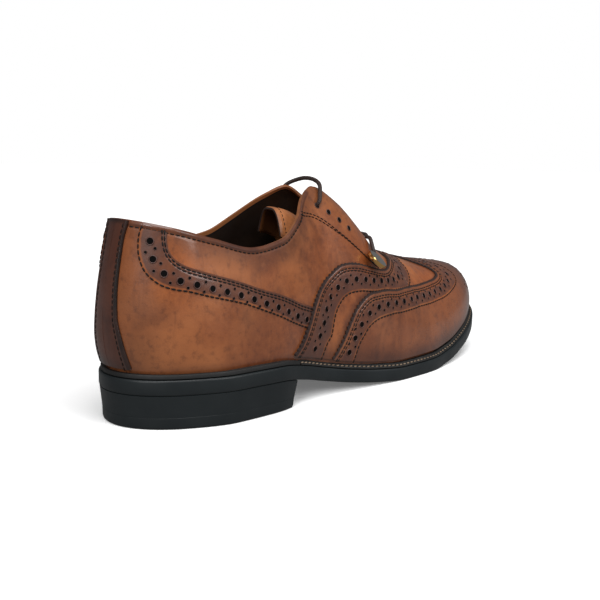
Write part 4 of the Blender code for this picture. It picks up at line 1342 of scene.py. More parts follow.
@dataclass
class Strip:
    """Leather band between a leading edge and an inner stitch line, on one side or both."""

    maker: Maker
    name: str
    outer_rows: Rows
    inner_rows: Rows
    lift_edge: float
    lift_body: float
    finish: bpy.types.Material
    pinked: bool = True
    tooth_pitch: float = 2.6
    tooth_depth: float = 1.0
    over: float = 1.0
    spacing: float = 0.5
    double: tuple[float, float] = (2.3, 3.6)
    hole_share: float = 0.56
    pinked_steps: Sequence[float] = (
        -0.8, -0.35, 0.0, 0.3, 0.7, 1.15, 1.6, 2.0, 2.35, 2.7, 3.1, 3.5, 3.9, 4.4)
    plain_steps: Sequence[float] = (
        -1.6, -1.1, -0.6, -0.3, 0.0, 0.3, 0.65, 1.0, 1.3, 1.6, 2.0, 2.6)
    found: dict[int, tuple[Array, Array]] = field(default_factory=dict)

    def lines(self, side: int) -> tuple[Array, Array]:
        """Matched outer and inner lines as (x, height share), evenly spaced on the outer."""
        last = self.maker.last
        if side in self.found:
            return self.found[side]
        outer = spline_through(self.outer_rows, 500)
        inner = spline_through(self.inner_rows, 500)
        run = run_length(last.place(*outer.T, side, self.lift_body))
        outer = read_line(np.linspace(0.0, run[-1], int(run[-1] / self.spacing)), run, outer)
        a = last.place(*outer.T, side, self.lift_body)
        b = last.place(*inner.T, side, self.lift_body)
        near = np.array([np.argmin(((b - point) ** 2).sum(1)) for point in a], float)
        near = np.maximum.accumulate(near)
        near[0], near[-1] = 0.0, len(inner) - 1.0
        width = max(9, int(9.0 / self.spacing)) | 1
        padded = np.r_[2 * near[0] - near[width:0:-1], near, 2 * near[-1] - near[-2:-width - 2:-1]]
        for _ in range(2):
            padded = np.convolve(padded, np.ones(width) / width, mode="same")
        near = padded[width:-width]
        near = np.clip(np.maximum.accumulate(near), 0.0, len(inner) - 1.0)
        near[0], near[-1] = 0.0, len(inner) - 1.0
        inner = read_line(near, np.arange(len(inner), dtype=float), inner)
        self.found[side] = (outer, inner)
        return outer, inner

    def widths(self, outer: Array, inner: Array, side: int) -> Array:
        """Distance in mm between the matched lines."""
        last = self.maker.last
        gap = (last.place(*outer.T, side, self.lift_body)
               - last.place(*inner.T, side, self.lift_body))
        return np.maximum(np.linalg.norm(gap, axis=1), 1.0)

    @staticmethod
    def between(outer: Array, inner: Array, share: Array) -> tuple[Array, Array]:
        """Sole place and height share at a share of the way between the lines."""
        x, w = (outer + (inner - outer) * share[:, None]).T
        return x, np.clip(w, 0.0, 1.0)

    def profile(self, reach: Array, wide: Array) -> Array:
        """Lift over the last at a distance from the leading edge."""
        lift = self.lift_body + 0.0 * reach
        if self.pinked:
            edge = np.clip(1.0 - (reach + 0.8) / 1.5, 0.0, 1.0)
            lift = lift - 0.55 * edge ** 2
            for line in self.double:
                lift = lift - 0.16 * bell(reach, line, 0.42)
            lift = lift + 0.14 * bell(reach, sum(self.double) / 2.0, 0.4)
            lift = lift + 0.16 * bell(reach, 1.0, 0.6)
        else:
            for line in self.double:
                lift = lift - 0.20 * bell(reach, line, 0.42)
        lift = lift + 0.12 * bell(reach - wide * self.hole_share, 0.0, wide.mean() * 0.22)
        lift = lift - 0.18 * bell(reach - wide, 0.0, 0.5)
        return lift

    def build(self, sides: Sequence[Side], node: str | None, suffix: str = "") -> None:
        """The band's mesh.

        Args:
            sides: sides of the shoe that it covers.
            node: CAD node it stands for, if any.
            suffix: added to the piece name.
        """
        last = self.maker.last
        fine = np.array(self.pinked_steps if self.pinked else self.plain_steps)
        outers, inners, faces, layers = [], [], [], {"reach": [], "wide": [], "burn": []}
        start = 0
        for side in sides:
            outer, inner = self.lines(side.value)
            wide = self.widths(outer, inner, side.value)
            shares = [np.minimum(np.full(len(wide), d) / wide, 0.98) for d in fine]
            shares += [fine[-1] / wide + (1.0 - fine[-1] / wide) * t for t in np.linspace(0.12, 1.0, 13)]
            shares.append(1.0 + self.over / wide)
            share = np.stack(shares, 1)
            if self.pinked:
                run = np.arange(len(wide)) * self.spacing
                saw = np.abs((run / self.tooth_pitch) % 1.0 - 0.5) * 2.0
                tooth = (self.tooth_depth * (saw - 0.5)) / wide
                share[:, 0] += tooth
                share[:, 1] += 0.6 * tooth
            x = outer[:, None, 0] + (inner - outer)[:, None, 0] * share
            w = outer[:, None, 1] + (inner - outer)[:, None, 1] * share
            w = np.clip(w, -0.002, 1.0)
            x = np.clip(x, 4.6, 293.5)
            if outer[0, 1] <= 0.001:
                w[0] = np.minimum(w[0], 0.0)
            reach = share * wide[:, None]
            lift = self.profile(reach, wide[:, None])
            lift[:, -1] = self.lift_edge - 0.25 if self.pinked else -0.25
            if not self.pinked:
                lift[:, 0] = -0.25
            into = np.full(share.shape, self.lift_edge - 0.2 if self.pinked else -0.45)
            into[:, 0] = np.minimum(into[:, 0], lift[:, 0] - 0.15)
            into[:, -1] = np.minimum(into[:, -1], lift[:, -1] - 0.1)
            p = last.feather_p(x)
            v = last.overlay_v(p, w, side.value)
            top = last.lifted(p, v, side.value, lift)
            low = last.lifted(p, v, side.value, into)
            if outer[-1, 1] >= 0.999:
                centre = table(last.upper_rows, 4, x[-1])
                top[-1, :, 1] = centre
                low[-1, :, 1] = centre
            faces += self.maker.outward(top, p, v, side.value, start)
            start += share.size
            outers.append(top.reshape(-1, 3))
            inners.append(low.reshape(-1, 3))
            height = np.broadcast_to(np.clip(outer[:, 1:2], 0, 1), share.shape)
            layers["reach"].append(reach.reshape(-1))
            layers["wide"].append(np.broadcast_to(wide[:, None], share.shape).reshape(-1))
            layers["burn"].append((0.5 * (1.0 - smooth_step(height, 0.0, 0.10))).reshape(-1))
        joined_layers = {k: np.concatenate(val) for k, val in layers.items()}
        obj = self.maker.shell(self.name + suffix, np.vstack(outers), np.vstack(inners), faces,
                               [self.finish], joined_layers, 55.0)
        if node:
            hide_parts(node)

    def stitch_rows(self, side: int, lift: float) -> Marks:
        """The two rows at the leading edge and the row along the inner line."""
        outer, inner = self.lines(side)
        wide = self.widths(outer, inner, side)
        rows = []
        for share in (*(reach / wide for reach in self.double), np.ones(len(wide))):
            over = self.profile(share * wide, wide) + lift
            rows.append(self.maker.last.mark(*self.between(outer, inner, share), side, over))
        return rows

    def holes(self, side: int, pitch: float, first: float, big: float, small: float,
              ) -> tuple[Marks, Marks]:
        """Big perforations along the middle and pairs of small ones between them.

        Args:
            side: side of the shoe.
            pitch: distance between big ones in mm.
            first: distance of the first from the line's start.
            big: diameter of the big ones in mm.
            small: diameter of the small ones in mm.

        Returns:
            Points, normals and sizes of the big and of the small ones.
        """
        last = self.maker.last
        outer, inner = self.lines(side)
        wide = self.widths(outer, inner, side)

        middle = self.between(outer, inner, np.full(len(wide), self.hole_share))
        run = run_length(last.place(*middle, side, 1.0))
        lift = float(self.profile(wide.mean() * self.hole_share, wide[:1])[0]) + 0.03

        def along(offset: float, start: float, size: float) -> tuple[Array, Array, Array]:
            """Holes at one offset from the middle line."""
            line = np.stack(self.between(outer, inner, self.hole_share + offset / wide), 1)
            spots = read_line(np.arange(start, run[-1] - 0.4 * pitch, pitch), run, line)
            return last.mark(*spots.T, side, lift, np.full(len(spots), size))

        gap = min(float(wide.mean()) * 0.235, 2.5)
        pairs = [along(way * gap, first + pitch / 2.0, small) for way in (-1, 1)]
        return [along(0.0, first, big)], pairs


@dataclass
class Overlay:
    """A piece over the upper, with a pinked and perforated band along its rear edge.

    edge_rows: height share and sole place x. inner_rows: x and height share.
    """

    maker: Maker
    finishes: Wardrobe
    name: str = ""
    finish: str = ""
    lift: float = 0.0
    thick: float = 0.0
    inner_lift: float = 0.1
    tuck: float = 2.6
    band_name: str = ""
    band_foot: float = 0.0
    band_rise: float = 0.16
    edge_rows: Rows = ()
    inner_rows: Rows = ()

    def cover(self, shares: Array, count: int, front: Array | float,
              burn: Callable[[Array], Array]) -> None:
        """The body under the band.

        Args:
            shares: height shares of its rows.
            count: places along each row.
            front: p of the front end of each row.
            burn: darkening for sole places x.
        """
        last = self.maker.last
        rear = last.feather_p(table(self.edge_rows, 1, shares) + self.tuck)[:, None]
        p = rear + (front - rear) * np.linspace(0.0, 1.0, count)[None, :]
        shade = burn(last.feather_x(p))

        def sheet(side: int) -> dict[str, Array]:
            """One side of the body."""
            return {"p": p, "v": last.overlay_grid(p, shares, side),
                    "out": np.full(p.shape, self.lift + self.thick),
                    "into": np.full(p.shape, self.inner_lift), "burn": shade}

        obj = self.maker.both_sides(self.name + "_piece", sheet, [self.finishes[self.finish]], 60.0)
        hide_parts(self.name)

    def band(self) -> Strip:
        """The pinked band along the edge."""
        outer = [(x, w) for w, x in self.edge_rows]
        return Strip(self.maker, self.band_name, outer, self.inner_rows, self.band_foot,
                     self.lift + self.thick + self.band_rise, self.finishes["band_calf"])


@dataclass
class Vamp(Overlay):
    """Vamp, tucked under the wing cap at its front."""

    name: str = "vamp"
    finish: str = "vamp_calf"
    lift: float = 0.62
    thick: float = 0.9
    band_name: str = "vamp_band"
    band_foot: float = 0.25
    front_tuck: float = 1.6
    shortest: float = 2.0
    edge_rows: Rows = (
        (0.0, 88.0), (0.10, 94.0), (0.22, 100.0), (0.30, 104.0), (0.36, 108.0), (0.395, 113.0),
        (0.41, 126.0), (0.42, 140.0), (0.435, 152.0), (0.475, 165.0), (0.56, 176.0), (0.66, 184.0),
        (0.78, 192.0), (0.90, 199.0), (1.0, 203.0))
    inner_rows: Rows = (
        (110.2, 0.0), (114.0, 0.08), (118.0, 0.126), (119.6, 0.17), (121.6, 0.218), (124.2, 0.25),
        (128.0, 0.276), (133.0, 0.293), (139.5, 0.303), (153.0, 0.324), (169.0, 0.381),
        (188.0, 0.437), (196.0, 0.482), (201.0, 0.555), (204.5, 0.63), (207.5, 0.72),
        (212.0, 0.82), (215.5, 0.91), (217.0, 1.0))
    cap_rows: Rows = ()

    def build(self) -> None:
        """Body of the vamp, under the bands."""
        shares = np.unique(np.r_[np.linspace(0.0, 0.34, 22), np.linspace(0.34, 0.5, 26),
                                 np.linspace(0.5, 1.0, 34)])
        beside = shares[:, None] + np.linspace(-0.014, 0.014, 5)
        front = table(self.cap_rows, 1, beside).min(axis=1) + self.front_tuck
        rear = table(self.edge_rows, 1, shares) + self.tuck
        front = np.maximum(front, rear + self.shortest)[:, None]

        def burn(x: Array) -> Array:
            """Darker at the foot, and painted shade beside the cap's raised edge."""
            foot = 0.70 * (1.0 - smooth_step(shares, 0.0, 0.14))[:, None]
            # second term: painted shade on the vamp next to the cap's raised edge
            return np.maximum(foot, 0.75 * (1.0 - smooth_step(front - x, 1.0, 7.5)))

        self.cover(shares, 60, self.maker.last.feather_p(front), burn)


@dataclass
class WingCap(Overlay):
    """Wing cap with its W edge and the punched rosette on the toe.

    curl and star: x, height share; the star's spots have a size too.
    """

    name: str = "wing_cap"
    finish: str = "toe_calf"
    lift: float = 0.45
    thick: float = 2.1
    band_name: str = "wing_band"
    band_foot: float = 1.35
    edge_rows: Rows = (
        (0.0, 119.0), (0.09, 126.0), (0.16, 131.0), (0.22, 136.0), (0.26, 141.0), (0.295, 147.0),
        (0.32, 154.0), (0.369, 168.0), (0.428, 186.0), (0.455, 202.0), (0.484, 217.0), (0.516, 230.0),
        (0.56, 239.5), (0.62, 242.0), (0.70, 240.0), (0.80, 233.5), (0.90, 227.0), (1.0, 222.5))
    inner_rows: Rows = (
        (133.5, 0.0), (137.0, 0.075), (141.0, 0.122), (145.0, 0.16), (152.0, 0.196), (162.0, 0.229),
        (171.0, 0.257), (192.0, 0.299), (213.0, 0.323), (228.0, 0.339), (242.0, 0.362),
        (254.0, 0.400), (260.5, 0.455), (264.0, 0.55), (262.5, 0.65), (258.5, 0.74), (253.0, 0.83),
        (248.0, 0.92), (245.5, 1.0))
    curl: Rows = (
        (281.0, 0.887), (288.0, 0.680), (279.0, 0.605), (276.0, 0.526), (277.0, 0.448), (276.0, 0.354),
        (271.0, 0.323), (274.0, 0.270), (286.0, 0.533), (282.0, 0.430))
    curl_size: float = 1.5
    star: Rows = ((270.0, 1.0, 2.4), (260.0, 0.97, 1.9), (279.5, 0.97, 1.9))

    def build(self) -> None:
        """Body of the cap."""
        shares = np.unique(np.r_[np.linspace(0.0, 0.3, 26), np.linspace(0.3, 0.6, 40),
                                 np.linspace(0.6, 1.0, 28)])

        def burn(x: Array) -> Array:
            """Darker at the foot and towards the toe."""
            foot = 0.75 * (1.0 - smooth_step(shares, 0.0, 0.12))[:, None]
            return np.maximum(foot, 0.78 * smooth_step(x, 238.0, 286.0))

        self.cover(shares, 76, 1.0, burn)

    def rosette(self) -> tuple[Marks, Marks]:
        """Punched rosette on the toe: a star of big holes and curls of small ones."""
        def spots(rows: Rows) -> Marks:
            """Single holes on both sides."""
            lift = self.lift + self.thick + 0.03
            return [self.maker.last.mark(np.array([x]), np.array([w]), side.value, lift, np.array([size]))
                    for side in SIDES for x, w, size in rows]

        return spots(self.star), spots([(x, w, self.curl_size) for x, w in self.curl])


@dataclass
class CounterBands:
    """Stitched and punched bands from the collar down to the vamp."""

    maker: Maker
    finishes: Wardrobe
    upper_rows: Rows = (
        (17.1, 0.955), (17.0, 0.93), (17.2, 0.88), (18.2, 0.82), (21.0, 0.765), (26.0, 0.728),
        (35.0, 0.706), (48.0, 0.676), (61.0, 0.638), (76.0, 0.551), (90.0, 0.445), (101.0, 0.350),
        (106.0, 0.310))
    lower_rows: Rows = (
        (9.0, 0.955), (8.6, 0.92), (8.4, 0.84), (9.2, 0.746), (11.2, 0.663), (15.2, 0.602),
        (20.5, 0.577), (27.0, 0.570), (37.0, 0.545), (47.0, 0.521), (59.0, 0.485), (72.0, 0.403),
        (85.0, 0.297), (97.0, 0.229), (102.5, 0.195))

    def band(self, side: Side) -> Strip:
        """The band of one side."""
        return Strip(self.maker, "counter_band_" + side.name.lower(), self.upper_rows,
                     self.lower_rows, 0.0, 0.42, self.finishes["counter_calf"], pinked=False,
                     double=(0.0, 1.3), hole_share=0.60, over=1.0)


@dataclass
class Decoration:
    """Stitch rows, perforations and eyelets over the whole upper."""

    maker: Maker
    finishes: Wardrobe
    repeats: Repeats
    pitch: float = 2.7
    eyelets: Rows = ((126.0, 0.787), (132.0, 0.696), (138.0, 0.650), (144.0, 0.621))
    eyelet_size: float = 2.7
    hole_sizes: tuple[float, float] = (3.1, 1.35)
    hole_start: float = 5.0
    facing_row: Rows = (
        (113.2, 0.962), (116.0, 0.88), (121.0, 0.777), (131.0, 0.612), (142.0, 0.535),
        (154.0, 0.497), (163.0, 0.488))
    double_gap: float = 1.3

    def punch(self, name: str, spots: Marks) -> None:
        """Punched holes: a pressed rim and a near-black well disc, painted shade for the hole's depth,
        sizes in mm per spot.
        """
        rims = [(a, b, c * MM * 1.12) for a, b, c in spots]
        wells = [(a + b * 0.035, b, c * MM) for a, b, c in spots]
        unit_size = {"Length": 1.0, "Width": 1.0, "Height": 1.0}
        self.repeats.place(name + "_rims", RepeatKind.RIM, rims, unit_size, self.finishes["hole_rim"])
        self.repeats.place(name + "_wells", RepeatKind.WELL, wells, unit_size,
                           self.finishes["hole_dark"])

    def build(self, vamp: Strip, wing: Strip, counter: dict[Side, Strip], cap: WingCap,
              strip: BackStrip) -> None:
        """All rows and holes.

        Args:
            vamp: band of the vamp.
            wing: band of the wing cap.
            counter: counter band of each side.
            cap: the wing cap, for its rosette.
            strip: the back strip, for its row.
        """
        rows: dict[str, Marks] = {"vamp": [], "wing": [], "counter": [], "quarter": []}
        big, small = [], []
        for side in SIDES:
            for name, band, pitch, lift in (("vamp", vamp, 7.4, 0.14), ("wing", wing, 8.4, 0.14),
                                            ("counter", counter[side], 8.3, 0.09)):
                rows[name] += band.stitch_rows(side.value, lift)
                large, little = band.holes(side.value, pitch, self.hole_start, *self.hole_sizes)
                big += large
                small += little
            rows["quarter"] += self.quarter_rows(side.value, strip)
        for name, width in (("vamp", 0.86), ("wing", 0.86), ("counter", 0.92), ("quarter", 0.68)):
            self.repeats.stitches(name + "_stitches", rows[name], self.finishes["brown_thread"],
                                  self.pitch, 2.45, width, 0.56)
        toe_big, toe_small = cap.rosette()
        self.punch("big_holes", big + toe_big)
        self.punch("small_holes", small + toe_small)
        self.punch("eyelets", self.eyelet_spots())

    def eyelet_spots(self) -> Marks:
        """The four plain punched eyelets of each facing."""
        sizes = np.full(len(self.eyelets), self.eyelet_size)
        return [self.maker.last.mark(*np.array(self.eyelets).T, side.value, 0.04, sizes)
                for side in SIDES]

    def quarter_rows(self, side: int, strip: BackStrip) -> Marks:
        """Facing, collar and back-strip stitch rows of one side."""
        last = self.maker.last
        rows = []
        for shift in (0.0, self.double_gap):
            path = spline_through(self.facing_row - np.array([shift, 0.0]), 160)
            rows.append(last.mark(*path.T, side, 0.12))
        p = last.feather_p(np.r_[np.linspace(6.5, 100.0, 60), np.linspace(101.0, 113.0, 20)])
        down = np.linspace(0.80, 1.0, 60)
        shares = []
        for one in p:
            run = run_length(last.point(np.full(60, one), down, side))
            shares.append(np.interp(run[-1] - last.collar_row, run, down))
        v = np.array(shares)
        rows.append((last.lifted(p, v, side, 0.0), last.normal(p, v, side), 1.0))
        w = np.linspace(0.0, 0.955, 90)
        p = strip.edge_p(w, strip.row_share)
        v = last.overlay_v(p, w, side)
        over = strip.lift + strip.thick - 0.12
        rows.append((last.lifted(p, v, side, over), last.normal(p, v, side), 1.0))
        return rows


# --------------------------------------------------------------------------- lacing
@dataclass
class Tongue:
    """Tongue under the facings, its free top leaning to one side.

    rows: x, centre, height of the crest, half width, fall of the sides, skew.
    """

    maker: Maker
    finishes: Wardrobe
    thick: float = 2.0
    row_inset: float = 3.2
    rows: Rows = (
        (97.0, -1.0, 100.0, 15.0, 14.5, 0.38), (100.0, -0.8, 99.6, 15.8, 15.0, 0.38),
        (108.0, 0.0, 98.0, 17.0, 15.0, 0.34), (118.0, 1.2, 94.3, 17.7, 14.0, 0.25),
        (126.0, 1.8, 90.5, 18.3, 13.5, 0.16), (143.0, 2.0, 85.3, 20.0, 12.5, 0.0),
        (158.0, 2.2, 80.0, 18.0, 10.0, 0.0), (172.0, 2.4, 74.9, 13.2, 6.0, 0.0),
        (184.0, 3.0, 70.0, 9.4, 3.5, 0.0), (198.0, 4.0, 65.8, 7.4, 2.2, 0.0))

    def grid(self, columns: int = 47) -> Array:
        """The tongue's upper face as rows of points, from its foot to its free end."""
        share = np.sin(np.linspace(-0.5, 0.5, columns) * np.pi)
        lines = []
        for x in np.r_[np.linspace(198.0, 112.0, 50), np.linspace(111.0, 97.0, 22)]:
            y = table(self.rows, 1, x) + table(self.rows, 3, x) * share
            z = table(self.rows, 2, x) - table(self.rows, 4, x) * np.abs(share) ** 3.3
            lines.append(np.stack([x + table(self.rows, 5, x) * (y - y[0]), y, z], 1))
        return np.array(lines)

    def build(self, repeats: Repeats) -> None:
        """The tongue and the stitch row round its top."""
        grid = self.grid()
        rows, columns = grid.shape[:2]
        normal = unit(np.cross(np.gradient(grid, axis=0), np.gradient(grid, axis=1)))
        if normal[rows // 2, columns // 2, 2] < 0.0:
            normal = -normal
        from_end = grid[:, :, 0] - grid[-1:, :, 0]
        run = np.cumsum(np.linalg.norm(np.diff(grid, axis=1, prepend=grid[:, :1]), axis=2), axis=1)
        from_side = np.minimum(run, run[:, -1:] - run)
        edge = np.minimum(from_end, from_side)
        sink = 0.55 * bell(edge, 0.0, 0.9) + 0.22 * bell(edge, self.row_inset, 0.7)
        outer = grid - normal * sink[..., None]
        inner = grid - normal * (self.thick - 0.5 * bell(edge, 0.0, 0.9))[..., None]
        corner = grid[5, 5]
        across = np.cross(grid[5, 6] - corner, grid[6, 5] - corner)
        flip = bool(np.dot(across, normal[5, 5]) < 0.0)
        burn = 0.5 * bell(edge, 0.0, 1.6)
        obj = self.maker.shell("tongue_piece", outer.reshape(-1, 3), inner.reshape(-1, 3),
                               self.maker.grid(rows, columns, flip=flip),
                               [self.finishes["tongue_calf"], self.finishes["lining_hide"],
                                self.finishes["edge_dye"]], {"burn": burn.reshape(-1)}, 60.0)
        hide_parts("tongue")
        end = int(np.argmin(np.abs(from_end[:, 0] - self.row_inset)))
        inset = [int(np.argmin(np.abs(line[:columns // 2] - self.row_inset))) for line in run]
        left = [(i, inset[i]) for i in range(50, end)]
        across = [(end, j) for j in range(inset[end], columns - inset[end])]
        keys = left + across + [(i, columns - 1 - j) for i, j in reversed(left)]
        line = np.array([outer[i, j] + normal[i, j] * 0.1 for i, j in keys])
        turn = np.array([normal[i, j] for i, j in keys])
        repeats.stitches("tongue_stitches", [(line, turn, 1.0)], self.finishes["brown_thread"],
                         2.6, 2.0, 0.55, 0.4)


@dataclass
class Lacing:
    """Lace through the top eyelets, lace over the foot of the throat, and the disc on it.

    lower: sole place, height share, side and extra lift of each point.
    """

    maker: Maker
    finishes: Wardrobe
    radius: float = 1.15
    disc_radius: float = 6.3
    disc_thick: float = 2.8
    disc_wall: int = 5
    disc_facing: tuple[float, float, float] = (0.32, -0.60, 0.73)
    disc_seat: tuple[float, float, float] = (155.5, 0.483, 4.8)
    lower: Rows = (
        (160.5, 0.550, -1, -0.4), (161.0, 0.610, -1, 0.0), (167.0, 0.730, -1, 0.0),
        (174.0, 0.860, -1, 0.6), (179.0, 0.960, -1, 2.9), (180.0, 0.970, 1, 3.8),
        (179.0, 0.900, 1, 1.4), (177.0, 0.800, 1, 0.0), (176.0, 0.780, 1, -3.0))

    def spot(self, x: float, w: float, side: int, lift: float) -> Array:
        """Point over the upper."""
        return self.maker.last.place(np.array([x]), np.array([w]), side, lift)[0]

    def build(self) -> None:
        """Both runs of lace and the disc."""
        up = self.radius + 0.9
        top = [self.spot(126.0, 0.787, -1, -1.2), self.spot(126.6, 0.80, -1, up),
               np.array([125.5, -16.6, 106.3]), np.array([130.0, -12.2, 111.2]),
               np.array([131.5, -7.0, 113.8]), np.array([132.5, 0.0, 114.6]),
               np.array([133.0, 7.0, 113.6]), self.spot(135.0, 0.93, 1, up + 0.55),
               self.spot(133.0, 0.83, 1, up), self.spot(132.0, 0.80, 1, -1.2)]
        self.tube("lace_top_piece", spline_through(np.array(top), 110), "lace_top")
        low = [self.spot(x, w, int(side), up + more) for x, w, side, more in self.lower]
        self.tube("lace_bottom_piece", spline_through(np.array(low), 120), "lace_bottom")
        self.disc()

    def tube(self, name: str, path: Array, node: str, around: int = 14) -> None:
        """Round braided lace along a path."""
        tangent = np.gradient(path, axis=0)
        tangent /= np.linalg.norm(tangent, axis=1, keepdims=True)
        guide = np.array([0.3, 0.1, 1.0])
        frames = []
        for one in tangent:
            side = np.cross(one, guide)
            side /= np.linalg.norm(side)
            guide = np.cross(side, one)
            frames.append((side, guide))
        run = run_length(path)
        points, along, round_at = [], [], []
        angles = np.linspace(0.0, 2.0 * np.pi, around, endpoint=False)
        for centre, (a, b), length in zip(path, frames, run):
            ripple = 1.0 + 0.025 * np.sin(length * LACE_WAVE + LACE_STRANDS * angles) \
                * np.sin(length * LACE_WAVE - LACE_STRANDS * angles)
            ring = centre + (np.cos(angles)[:, None] * a + np.sin(angles)[:, None] * b) \
                * (self.radius * ripple)[:, None]
            points.append(ring)
            along.append(np.full(around, length))
            round_at.append(angles)
        obj = self.maker.piece(name, *self.maker.rings(points), [self.finishes["waxed_lace"]], None,
                               {"along": np.concatenate(along), "around": np.concatenate(round_at)})
        tidy(obj)
        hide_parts(node)

    def disc(self) -> None:
        """Round disc with a soft crown and a turned edge."""
        around = 64
        angles = np.linspace(0.0, 2.0 * np.pi, around, endpoint=False)
        half, r = self.disc_thick / 2.0, self.disc_radius
        profile = ((0.02, -half), (r - 0.5, -half), (r - 0.12, -half + 0.14), (r, -half + 0.5),
                   (r, half - 0.9), (r - 0.16, half - 0.42), (r - 0.6, half - 0.28),
                   (r - 1.0, half - 0.26), (r * 0.6, half - 0.08), (r * 0.3, half), (0.02, half + 0.02))
        out = np.array(self.disc_facing) / np.linalg.norm(self.disc_facing)
        along = np.cross((0.0, 1.0, 0.0), out)
        along = along / np.linalg.norm(along)
        turn = np.stack([along, np.cross(out, along), out], 1)
        rings = [np.stack([rad * np.cos(angles), rad * np.sin(angles), np.full(around, z)], 1)
                 for rad, z in profile]
        x, w, lift = self.disc_seat
        points, faces = self.maker.rings(rings)
        points = points @ turn.T + self.spot(x, w, -1, lift)
        slots = [0] * (self.disc_wall * around) + [1] * ((len(rings) - 1 - self.disc_wall) * around)
        slots += [0, 1]
        obj = self.maker.piece("disc_piece", points, faces,
                               [self.finishes["disc_metal"], self.finishes["disc_mirror"]],
                               np.array(slots))
        tidy(obj)
        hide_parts("lace_disc")


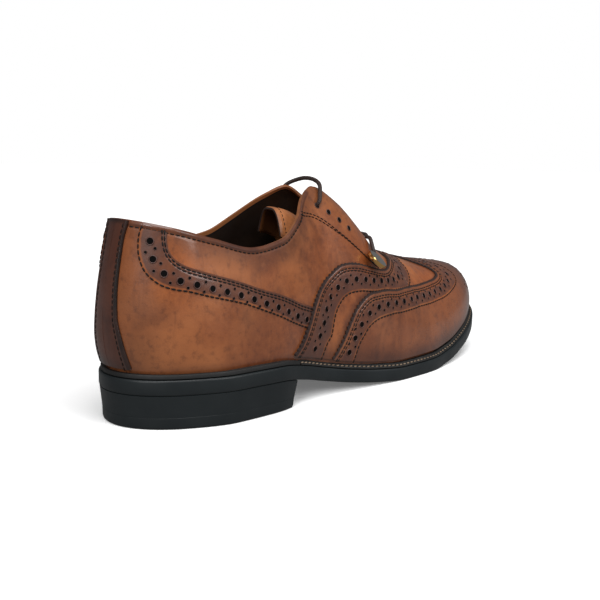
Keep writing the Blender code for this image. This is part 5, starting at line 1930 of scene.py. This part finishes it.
# --------------------------------------------------------------------------- studio
@dataclass
class Studio:
    """Pale floor, soft light and the camera at the photograph's angle.

    Lengths are metres; each sun has the direction it comes from, its spread in
    degrees and its strength.
    """

    position: tuple[float, float, float] = (-0.37137, -0.32887, 0.12860)
    view: tuple[float, float, float] = (0.6906, 0.6981, -0.1891)
    up: tuple[float, float, float] = (0.1229, 0.1444, 0.9819)
    focal: float = 51.19
    shift: tuple[float, float] = (0.06796, 0.02648)
    ambient: float = 0.15
    floor_glow: float = 0.15
    floor_bounce: float = 0.25
    suns: dict[str, tuple[Color, float, float]] = field(default_factory=lambda: {
        "top_light": ((-0.15, -0.30, 1.0), 42.0, 2.20),
        "left_light": ((-1.0, -0.50, 0.62), 20.0, 1.35),
        "front_light": ((0.30, -1.0, 0.62), 34.0, 1.20)})

    def build(self) -> None:
        """Floor, lights and camera."""
        self.floor()
        self.lights()
        self.camera()

    @staticmethod
    def split(b: NodeBuilder, lit_by: bpy.types.Node, seen: bpy.types.Node, output: str) -> None:
        """One shader for the camera to see, and another for the light that reaches the shoe.

        Args:
            b: builder of the tree.
            lit_by: shader for all rays but the camera's.
            seen: shader for the camera's rays.
            output: name of the tree's output node.
        """
        pick = b.add("ShaderNodeMixShader")
        b.link(b.add("ShaderNodeLightPath").outputs["Is Camera Ray"], pick.inputs[0])
        b.link(lit_by.outputs[0], pick.inputs[1])
        b.link(seen.outputs[0], pick.inputs[2])
        b.link(pick.outputs[0], b.tree.nodes[output].inputs["Surface"])

    def floor(self) -> None:
        """Plain pale floor."""
        mesh = bpy.data.meshes.new("floor")
        mesh.from_pydata([(-6, -6, 0), (6, -6, 0), (6, 6, 0), (-6, 6, 0)], [], [(0, 1, 2, 3)])
        obj = link_new("floor", mesh)
        material, b, shader = new_material("pale_floor")
        for label, value in (("Base Color", (0.94, 0.94, 0.94, 1.0)), ("Roughness", 0.9),
                             ("Specular IOR Level", 0.1), ("Emission Color", (1.0, 1.0, 1.0, 1.0)),
                             ("Emission Strength", self.floor_glow)):
            shader.inputs[label].default_value = value
        dim = b.add("ShaderNodeBsdfDiffuse")
        dim.inputs["Color"].default_value = rgba((self.floor_bounce,) * 3)
        self.split(b, dim, shader, "Material Output")
        mesh.materials.append(material)

    def lights(self) -> None:
        """White backdrop and three broad soft lights."""
        world = bpy.data.worlds.new("studio")
        bpy.context.scene.world = world
        world.use_nodes = True
        b = NodeBuilder(world.node_tree)
        back = world.node_tree.nodes["Background"]
        back.inputs["Color"].default_value = (0.97, 0.985, 1.0, 1.0)
        back.inputs["Strength"].default_value = self.ambient
        white = b.add("ShaderNodeBackground")
        white.inputs["Color"].default_value = (1.0, 1.0, 1.0, 1.0)
        self.split(b, back, white, "World Output")
        for name, (spot, spread, power) in self.suns.items():
            data = bpy.data.lights.new(name, "SUN")
            data.angle = math.radians(spread)
            data.energy = power
            obj = link_new(name, data)
            obj.rotation_mode = "QUATERNION"
            obj.rotation_quaternion = (-Vector(spot)).to_track_quat("-Z", "Y")
        bpy.context.scene.view_settings.view_transform = "Standard"

    def camera(self) -> None:
        """Camera at the photograph's place."""
        data = bpy.data.cameras.new("camera")
        data.sensor_width = 36.0
        data.lens = self.focal
        data.shift_x, data.shift_y = self.shift
        data.clip_start = 0.01
        obj = link_new("camera", data)
        forward = Vector(self.view).normalized()
        up = Vector(self.up)
        up = (up - forward * up.dot(forward)).normalized()
        right = forward.cross(up)
        turn = Matrix((right, up, -forward)).transposed()
        obj.matrix_world = Matrix.Translation(Vector(self.position)) @ turn.to_4x4()
        bpy.context.scene.camera = obj


SLOTS = {
    "outsole_piece": "sole_rubber", "heel_piece": "heel_rubber", "rand_piece": "rand_leather",
    "welt": "welt_leather", "upper": "upper_leather", "lining": "upper_leather",
    "quarter": "upper_leather", "eyelets": "upper_leather", "big_holes": "vamp_leather",
    "small_holes": "vamp_leather", "back_strip": "strip_leather", "vamp": "vamp_leather",
    "wing": "cap_leather", "counter_band_lateral": "band_leather",
    "counter_band_medial": "band_leather_in", "counter_stitches": "band_leather",
    "tongue": "tongue_leather", "lace": "lace_cotton", "disc": "disc_brass",
}


def name_slots(pieces: Sequence[bpy.types.Object]) -> None:
    """Looks up each piece's slot name in SLOTS and warns of a piece without one; nothing is named or
    assigned.

    Args:
        pieces: the finished pieces.
    """
    for piece in pieces:
        for start, slot in SLOTS.items():
            if piece.name.startswith(start):
                break
        else:
            LOG.warning("%s has no slot", piece.name)


def main() -> None:
    """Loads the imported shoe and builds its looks."""
    logging.basicConfig(level=logging.INFO, format="%(message)s")
    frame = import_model()
    last = Last()
    maker = Maker(last)
    finishes = Wardrobe()
    repeats = Repeats(maker)
    Studio().build()
    SoleUnit(maker, finishes).build(repeats)
    Quarters(maker, finishes).build()
    back_strip = BackStrip(maker, finishes)
    back_strip.build()
    cap = WingCap(maker, finishes)
    vamp = Vamp(maker, finishes, cap_rows=cap.edge_rows)
    vamp.build()
    cap.build()
    vamp_band, wing_band = vamp.band(), cap.band()
    vamp_band.build(SIDES, None, "_piece")
    wing_band.build(SIDES, None, "_piece")
    counter = {}
    for side in SIDES:
        counter[side] = CounterBands(maker, finishes).band(side)
        counter[side].build([side], "counter_band_" + side.name.lower(), "_piece")
    Decoration(maker, finishes, repeats).build(vamp_band, wing_band, counter, cap, back_strip)
    Tongue(maker, finishes).build(repeats)
    Lacing(maker, finishes).build()
    insole = frame["nodes"]["insole"]
    insole.data.materials.clear()
    insole.data.materials.append(finishes["insole_hide"])
    name_slots(maker.made)
    LOG.info("%d pieces in all", len(maker.made))


if __name__ == "__main__":
    main()
